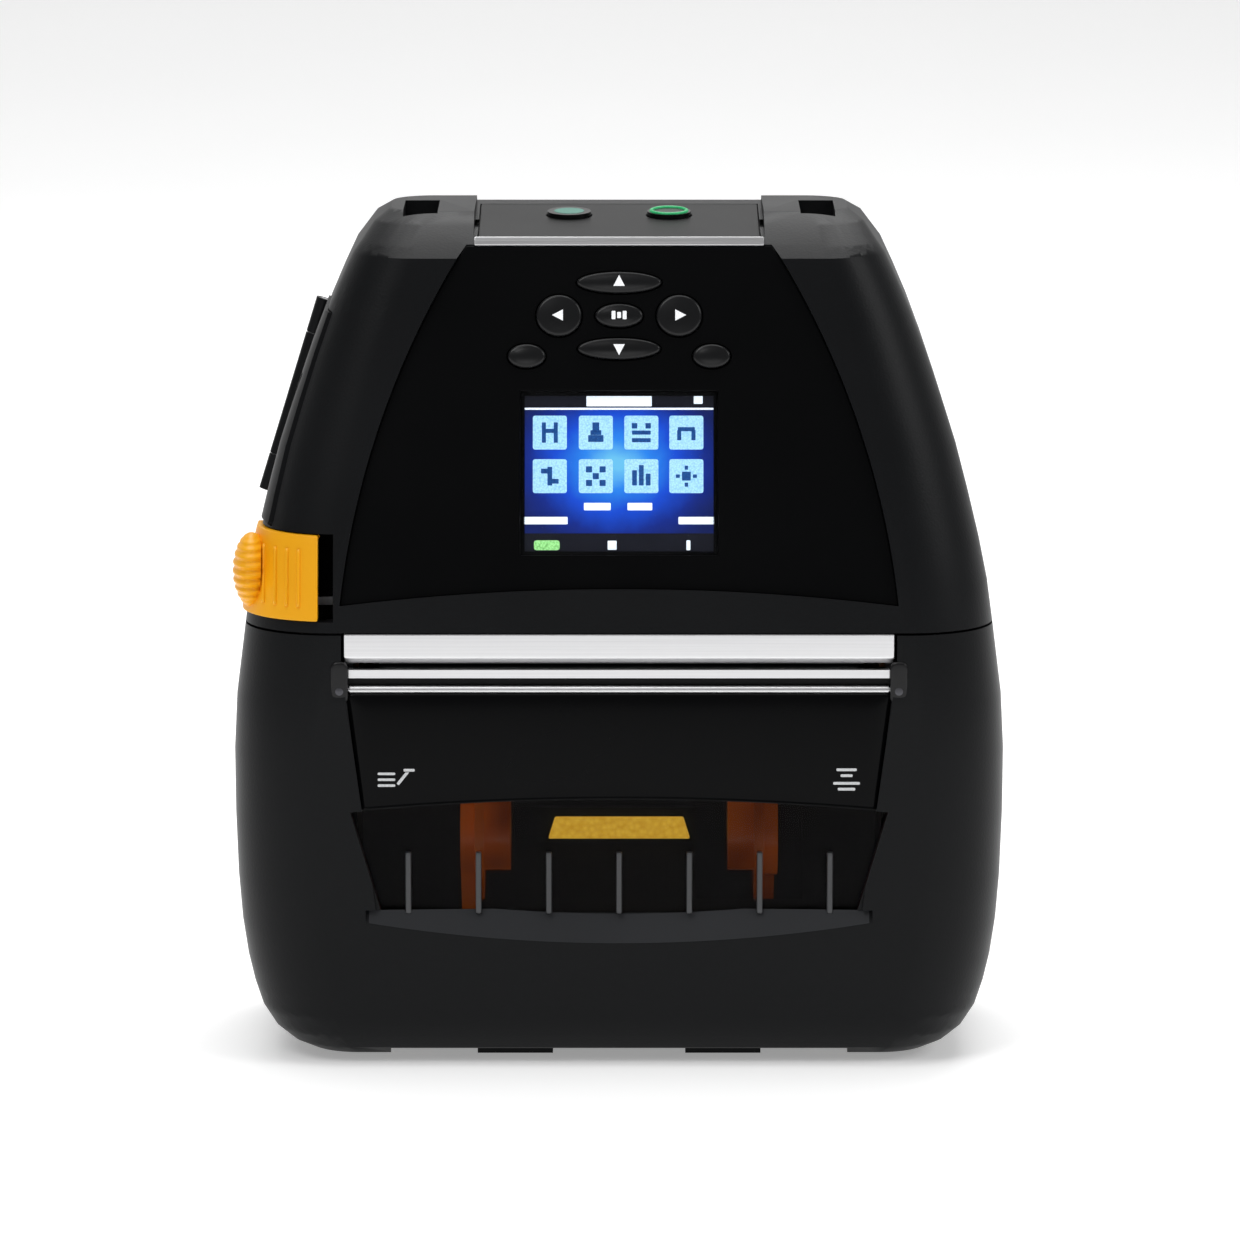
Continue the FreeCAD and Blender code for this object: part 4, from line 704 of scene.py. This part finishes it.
def backlight():
    # colour by distance from a point near the middle: pale cyan, then blue, then near black at the rim
    mat, tree, bsdf = newMaterial("backlight")
    place = addNode(tree, "ShaderNodeMapping", vector_type="TEXTURE")
    place.inputs["Location"].default_value = panelFrame @ Vector((*onScreen(glowLook["heart"]), screenFront))
    place.inputs["Scale"].default_value = glowLook["reach"]
    ball = addNode(tree, "ShaderNodeTexGradient", gradient_type="SPHERICAL")
    cells = addNode(tree, "ShaderNodeTexNoise", Scale=glowLook["cellScale"], Detail=2)
    feedFromObject(tree, place, cells)
    mixed = addNode(tree, "ShaderNodeMath", operation="MULTIPLY_ADD")
    mixed.inputs[1].default_value = glowLook["cellShare"]
    ramp = colourMix(tree, mixed.outputs["Value"], glowLook["rim"], glowLook["centre"])
    for stop, colour in glowLook["blues"]:
        step = ramp.color_ramp.elements.new(stop)
        step.color = (*colour, 1)
    tree.links.new(place.outputs["Vector"], ball.inputs["Vector"])
    tree.links.new(cells.outputs["Fac"], mixed.inputs[0])
    tree.links.new(ball.outputs["Fac"], mixed.inputs[2])
    tree.links.new(ramp.outputs["Color"], bsdf.inputs["Emission Color"])
    bsdf.inputs["Base Color"].default_value = glowLook["base"]
    bsdf.inputs["Emission Strength"].default_value = 1.0
    bsdf.inputs["Roughness"].default_value = glowLook["rough"]
    return mat


inkLooks = {
    "tilePale": dict(dark=(0.20, 0.46, 0.72), light=(0.42, 0.72, 0.92), glow=0.75),
    "screenWhite": dict(dark=(0.62, 0.72, 0.82), light=(0.85, 0.92, 0.98), glow=0.85),
    "screenBlue": dict(dark=(0.004, 0.04, 0.18), light=(0.01, 0.09, 0.32), glow=0.5),
    "screenDark": dict(dark=(0.001, 0.002, 0.006), light=(0.002, 0.003, 0.012), glow=0.5),
    "screenGreen": dict(dark=(0.12, 0.42, 0.10), light=(0.36, 0.72, 0.30), glow=0.9),
}
# the dark bars, the glow behind them and the charge mark, measured as the strips are
screenAreas = dict(
    glow=(0, 0, 0.955, 0.955), top=(0, 0.88, 0.955, 0.075), low=(0, -0.84, 0.955, 0.115),
    charge=(-0.73, -0.87, 0.13, 0.06),
)


def makeDisplay():
    paleTile, whiteInk, blueInk, darkInk, greenInk = [litMark(name, inkLooks[name]) for name in inkLooks]
    dress(strip("screenGlow", screenAreas["glow"], sheetLevels["glow"]), backlight(), "housing")
    dress(strip("screenTopBar", screenAreas["top"], sheetLevels["bar"]), darkInk, "housing")
    dress(strip("screenLowBar", screenAreas["low"], sheetLevels["bar"]), darkInk, "housing")
    inks = [strip(name, box, sheetLevels["tile"]) for name, box in strips.items()]
    dress(joined("screenInk", inks), whiteInk, "housing")
    charge = strip("batteryPill", screenAreas["charge"], sheetLevels["tile"], 0.5 * mm)
    dress(charge, greenInk, "housing")
    tiles, marks = [], []
    tileOutline = roundedOutline(tileHalf, tileHalf, 0.5 * mm, 4)
    for index, glyph in enumerate(glyphs):
        row, column = divmod(index, len(tileColumns))
        centre = onScreen((tileColumns[column], tileRows[row]))
        tiles.append(screenSheet("tile", tileOutline, centre, sheetLevels["tile"]))
        for u, v, halfU, halfV in glyph:
            outline = roundedOutline(halfU * tileHalf, halfV * tileHalf, 0.1 * mm, 3)
            spot = centre + np.array((u, v)) * tileHalf
            marks.append(screenSheet("glyph", outline, spot, sheetLevels["glyph"]))
    dress(joined("iconTiles", tiles), paleTile, "housing")
    dress(joined("iconGlyphs", marks), blueInk, "housing")


makeDisplay()
print("display made")

# ---- front of the cover: glossy band, window ribs, lip, end brackets and generic marks
cover = span("media_cover")
pane = span("cover_window")
roller = span("peel_roller")
frontFrame = leaningFrame(Vector((0, 1, 0)), Vector((0, 0, 0)))
bandShape = dict(
    halfTop=59.0 * mm,
    top=82.8 * mm,
    halfLow=55.9 * mm,
    arch=627 * mm,
    crown=59.7 * mm,
    back=-41.12 * mm,
    proud=0.3 * mm,
    bulge=0.45 * mm,
    behind=0.05 * mm,
)
bandLook = dict(
    dark=(0.0012, 0.0013, 0.0015),
    light=(0.0020, 0.0021, 0.0024),
    rough=0.26,
    bump=0.05,
    grainScale=4200,
    specular=0.07,
)


def bandLow(x):
    # the window's arched upper edge: a circle's arc, crown - x^2 / (2 * radius)
    return bandShape["crown"] - x**2 / (2 * bandShape["arch"])


def twoSided(name, front, rear, walled):
    # two grids of the same size, front and rear, with or without walls between their rims
    rows, cols = front.shape[:2]
    offset = rows * cols
    verts = np.concatenate([front.reshape(-1, 3), rear.reshape(-1, 3)])
    faces = gridFaces(rows, cols) + [f[::-1] for f in gridFaces(rows, cols, start=offset)]
    if walled:
        rim = [(0, c) for c in range(cols)] + [(r, cols - 1) for r in range(1, rows)]
        rim += [(rows - 1, c) for c in range(cols - 2, -1, -1)] + [(r, 0) for r in range(rows - 2, 0, -1)]
        ids = [r * cols + c for r, c in rim]
        faces += [(a, a + offset, b + offset, b) for a, b in zip(ids, ids[1:] + ids[:1])]
    return addMesh(name, verts, faces)


def makeBand():
    # across, and up by t from the arch to the seam; it stands proud + bulge * (1 - (2t - 1)^2) forward,
    # and both fade towards the rim
    t = np.concatenate([[0], np.linspace(0, 1, 33), [1]])
    across = np.linspace(-1, 1, 81)
    tt, aa = np.meshgrid(t, across, indexing="ij")
    half = bandShape["halfLow"] + (bandShape["halfTop"] - bandShape["halfLow"]) * tt
    x = aa * half
    z = bandLow(x) + (bandShape["top"] - bandLow(x)) * tt
    fade = 1 - np.maximum(np.abs(2 * tt - 1) ** 10, np.abs(aa) ** 60)
    y = bandShape["back"] - (bandShape["proud"] + bandShape["bulge"] * (1 - (2 * tt - 1) ** 2)) * fade
    front = np.stack([x, y, z], -1)
    rear = front.copy()
    rear[..., 1] = bandShape["back"] + bandShape["behind"]
    dress(twoSided("bandFace", front, rear, True), mouldedPlastic("bandGloss", bandLook), "cover")


ribShape = dict(
    count=7,
    pitch=15.25 * mm,
    low=34.1 * mm,
    high=47.6 * mm,
    halfWide=0.62 * mm,
    corner=0.3 * mm,
    proud=0.06 * mm,
    deep=1.7 * mm,
)
ribLook = dict(dark=(0.030, 0.031, 0.034), light=(0.048, 0.050, 0.054), rough=0.3, bump=0.1)


def makeRibs():
    # upright ribs on the window, each a rounded bar that sits over the moulded one
    high = -pane[0, 1] + ribShape["proud"]
    low = high - ribShape["deep"]
    halfHigh = (ribShape["high"] - ribShape["low"]) / 2
    outline = roundedOutline(ribShape["halfWide"], halfHigh, ribShape["corner"], 3)
    ribs = []
    for k in range(ribShape["count"]):
        x = (k - (ribShape["count"] - 1) / 2) * ribShape["pitch"]
        centre = (x, (ribShape["low"] + ribShape["high"]) / 2)
        ribs.append(pill("rib", outline, centre, low, high, ribShape["corner"], frontFrame))
    dress(joined("windowRibs", ribs), mouldedPlastic("ribGrey", ribLook), "cover")


lipShape = dict(
    sill=34.1 * mm,
    halfWide=54.3 * mm,
    centreRise=327 * mm,
    frontRadius=333.3 * mm,
    sillRadius=327.3 * mm,
    paneRadius=326.2 * mm,
    front=-43 * mm,
    coneRadius=335.8 * mm,
    slope=4.1 / 9,
    proud=0.12 * mm,
    raised=0.05 * mm,
    behind=0.25 * mm,
    under=0.1 * mm,
)
# painted light: the lip is a lighter grey than the cover around it, standing in for light from above on its
# upward-facing slope
lipPaintedLightLook = dict(
    dark=(0.017, 0.018, 0.020), light=(0.024, 0.025, 0.028), rough=0.38, bump=0.15, specular=0.3
)


def makeSillLip():
    # a strip of a cone below the window: z = sill + centreRise - sqrt(r^2 - x^2), y = front + slope *
    # (coneRadius - r), with r falling from the front edge to the sill
    x = np.linspace(-lipShape["halfWide"], lipShape["halfWide"], 97)
    t = np.linspace(0, 1, 13)
    xx, tt = np.meshgrid(x, t)
    inner = np.maximum(lipShape["sillRadius"], np.sqrt(lipShape["paneRadius"] ** 2 + xx**2))
    r = lipShape["frontRadius"] + (inner - lipShape["frontRadius"]) * tt
    z = lipShape["sill"] + lipShape["centreRise"] - np.sqrt(r**2 - xx**2)
    y = lipShape["front"] + (lipShape["coneRadius"] - r) * lipShape["slope"]
    front = np.stack([xx, y - lipShape["proud"], z + lipShape["raised"]], -1)
    rear = np.stack([xx, y + lipShape["behind"], z - lipShape["under"]], -1)
    # the lighter grey here is painted light on the upward-facing lip
    dress(twoSided("sillLip", front, rear, False), mouldedPlastic("sillPaintedLight", lipPaintedLightLook), "cover")


bracketShape = dict(
    side=60.4 * mm,
    height=85.2 * mm,
    halfWide=1.9 * mm,
    halfHigh=4.6 * mm,
    corner=1.4 * mm,
    low=40.9 * mm,
    high=41.85 * mm,
    edge=0.5 * mm,
    dome=0.05 * mm,
)
bracketPin = dict(radius=1.0 * mm, low=41.6 * mm, high=41.9 * mm, edge=0.2 * mm, dome=0.05 * mm)
bracketLook = dict(
    dark=(0.003, 0.003, 0.0035), light=(0.005, 0.005, 0.0056), rough=0.3, bump=0.1, specular=0.3
)


def frontCap(name, outline, centre, shape):
    low, high, edge, dome = [shape[key] for key in ("low", "high", "edge", "dome")]
    return pill(name, outline, centre, low, high, edge, frontFrame, dome)


def makeBrackets():
    # a small dark bracket at each end of the peel bars, with a steel pin head
    dark = mouldedPlastic("bracketDark", bracketLook)
    plateOutline = roundedOutline(bracketShape["halfWide"], bracketShape["halfHigh"], bracketShape["corner"])
    pinOutline = ovalOutline(bracketPin["radius"], bracketPin["radius"], 24)
    for side in (-1, 1):
        x = side * bracketShape["side"]
        body = frontCap("endBracket", plateOutline, (x, bracketShape["height"]), bracketShape)
        dress(body, dark, "cover")
        head = frontCap("bracketPin", pinOutline, (x, roller[:, 2].mean()), bracketPin)
        dress(head, darkSteel, "cover")


def bandFront(z, x):
    # how far forward the band's own surface stands at that spot, for marks that lie on it
    t = (z - bandLow(x)) / (bandShape["top"] - bandLow(x))
    return -bandShape["back"] + bandShape["proud"] + bandShape["bulge"] * (1 - (2 * t - 1) ** 2)


# the printed band marks glow a little: painted light, since print is no lamp
bandPaintGlowLook = dict(dark=(0.40, 0.41, 0.42), light=(0.60, 0.61, 0.62), glow=0.2, dotScale=4000)
# strokes in millimetres and radians: (across, up, half width, half height, turn)
bandStrokes = [(-50.3, v, 1.9, 0.28, 0.0) for v in (65.3, 64.0, 62.7)]
bandStrokes += [(-46.6, 64.6, 2.1, 0.32, 0.9), (-45.4, 66.1, 1.2, 0.3, 0.0)]
bandStrokes += [(49.2, 66.2, 2.2, 0.3, 0.0), (49.2, 64.9, 1.3, 0.3, 0.0)]
bandStrokes += [(49.2, 63.2, 2.9, 0.3, 0.0), (49.2, 61.9, 1.9, 0.3, 0.0)]
strokeShape = dict(corner=0.2 * mm, sunk=0.2 * mm, proud=0.03 * mm)


def makeBandMarks():
    # left: lines beside a slanted stroke; right: four bars of different widths; both are generic, and their
    # print has a faint painted glow
    glowingPaint = litMark("bandPaintGlow", bandPaintGlowLook)
    pieces = []
    for u, v, halfU, halfV, turn in bandStrokes:
        c, s = math.cos(turn), math.sin(turn)
        outline = roundedOutline(halfU * mm, halfV * mm, strokeShape["corner"], 3)
        outline = outline @ np.array([[c, s], [-s, c]])
        front = bandFront(v * mm, u * mm)
        low = front - strokeShape["sunk"]
        high = front + strokeShape["proud"]
        pieces.append(plate("mark", outline, (u * mm, v * mm), low, high, frontFrame))
    dress(joined("bandMarks", pieces), glowingPaint, "cover")


makeBand()
makeRibs()
makeSillLip()
makeBrackets()
makeBandMarks()
print("front of the cover made")

# ---- latch: upright grip ribs on its face, and a ribbed thumb dome on its flank
latch = span("latch_button")
gripRibs = dict(
    count=4,
    fromLeft=5.2 * mm,
    fromRight=4.2 * mm,
    fromEnds=3 * mm,
    proud=0.1 * mm,
    behindCover=0.45 * mm,
    radius=0.42 * mm,
)
thumbDome = dict(
    radii=(3.9 * mm, 8.4 * mm, 8.1 * mm),
    centre=(-79.9 * mm, -26.6 * mm, latch[:, 2].mean()),
    ribs=13,
    ripple=0.05,
    outer=-83.9 * mm,
    inner=-77.5 * mm,
)


def surfaceTree(name):
    mesh = nodes[name].data
    return BVHTree.FromPolygons([v.co[:] for v in mesh.vertices], [p.vertices[:] for p in mesh.polygons])


def makeLatchRibs():
    # each rib follows the latch's face, found by rays from the front, and stays behind the cover's front
    tree = surfaceTree("latch_button")
    ribs = []
    left = latch[0, 0] + gripRibs["fromLeft"]
    right = latch[1, 0] - gripRibs["fromRight"]
    for x in np.linspace(left, right, gripRibs["count"]):
        path = []
        for z in np.linspace(latch[0, 2] + gripRibs["fromEnds"], latch[1, 2] - gripRibs["fromEnds"], 16):
            spot = tree.ray_cast(Vector((x, -80 * mm, z)), Vector((0, 1, 0)))[0]
            if spot is not None:
                y = max(spot.y - gripRibs["proud"], cover[0, 1] + gripRibs["behindCover"])
                path.append((spot.x, y, spot.z))
        ribs.append(tube("latchRib", path, gripRibs["radius"], 10))
    dress(joined("latchRibs", ribs), yellow, "latch")


def makeThumbDome():
    # an ellipsoid cut flat at its outer and inner side: each radius times r * cos or r * sin of b, where
    # r = cos(a) * (1 + ripple * cos(2 * ribs * a) * cos(a)), and a runs from pole to pole
    steepest = math.pi / 2 * 0.98
    b = np.linspace(0, 2 * math.pi, 97)[:-1]
    rings = []
    for a in np.linspace(-steepest, steepest, 121):
        ripple = 1 + thumbDome["ripple"] * math.cos(thumbDome["ribs"] * 2 * a) * math.cos(a)
        r = math.cos(a) * ripple
        x = thumbDome["centre"][0] - thumbDome["radii"][0] * r * np.cos(b)
        y = thumbDome["centre"][1] - thumbDome["radii"][1] * r * np.sin(b)
        z = np.full_like(b, thumbDome["centre"][2] + thumbDome["radii"][2] * math.sin(a))
        rings.append(np.stack([np.clip(x, thumbDome["outer"], thumbDome["inner"]), y, z], -1))
    dress(closedRings("thumbDome", np.array(rings)[:, ::-1]), yellow, "latch")


makeLatchRibs()
makeThumbDome()
print("latch dressed")

# ---- top strip: a lit spot on one button and a lit ring on the other
topMarks = dict(spot=3.3 * mm, sunk=0.1 * mm, proud=0.04 * mm, ring=3.9 * mm, ringThick=0.42 * mm)
tealLook = dict(dark=(0.003, 0.07, 0.05), light=(0.006, 0.13, 0.09), glow=0.8)
greenLook = dict(dark=(0.004, 0.16, 0.05), light=(0.01, 0.30, 0.10), glow=0.9)


def makePowerMark():
    level = frontOf("power_button", buttonSlide) - topFace
    outline = ovalOutline(topMarks["spot"], topMarks["spot"], 36)
    low = level - topMarks["sunk"]
    high = level + topMarks["proud"]
    mark = plate("powerMark", outline, np.array(spotOf("power_button", topUp)), low, high, topFrame)
    dress(mark, litMark("tealMark", tealLook), "power_button_body")


def makeFeedMark():
    level = frontOf("feed_button", buttonSlide) - topFace
    circle = ovalOutline(topMarks["ring"], topMarks["ring"], 64) + spotOf("feed_button", topUp)
    path = np.column_stack([circle, np.full(len(circle), level)])
    path = path @ np.array(topFrame.to_3x3()).T + np.array(topFrame.translation)
    mark = tube("feedMark", path, topMarks["ringThick"], 8, closed=True)
    dress(mark, litMark("greenMark", greenLook), "feed_button_body")


makePowerMark()
makeFeedMark()
print("top marks made")
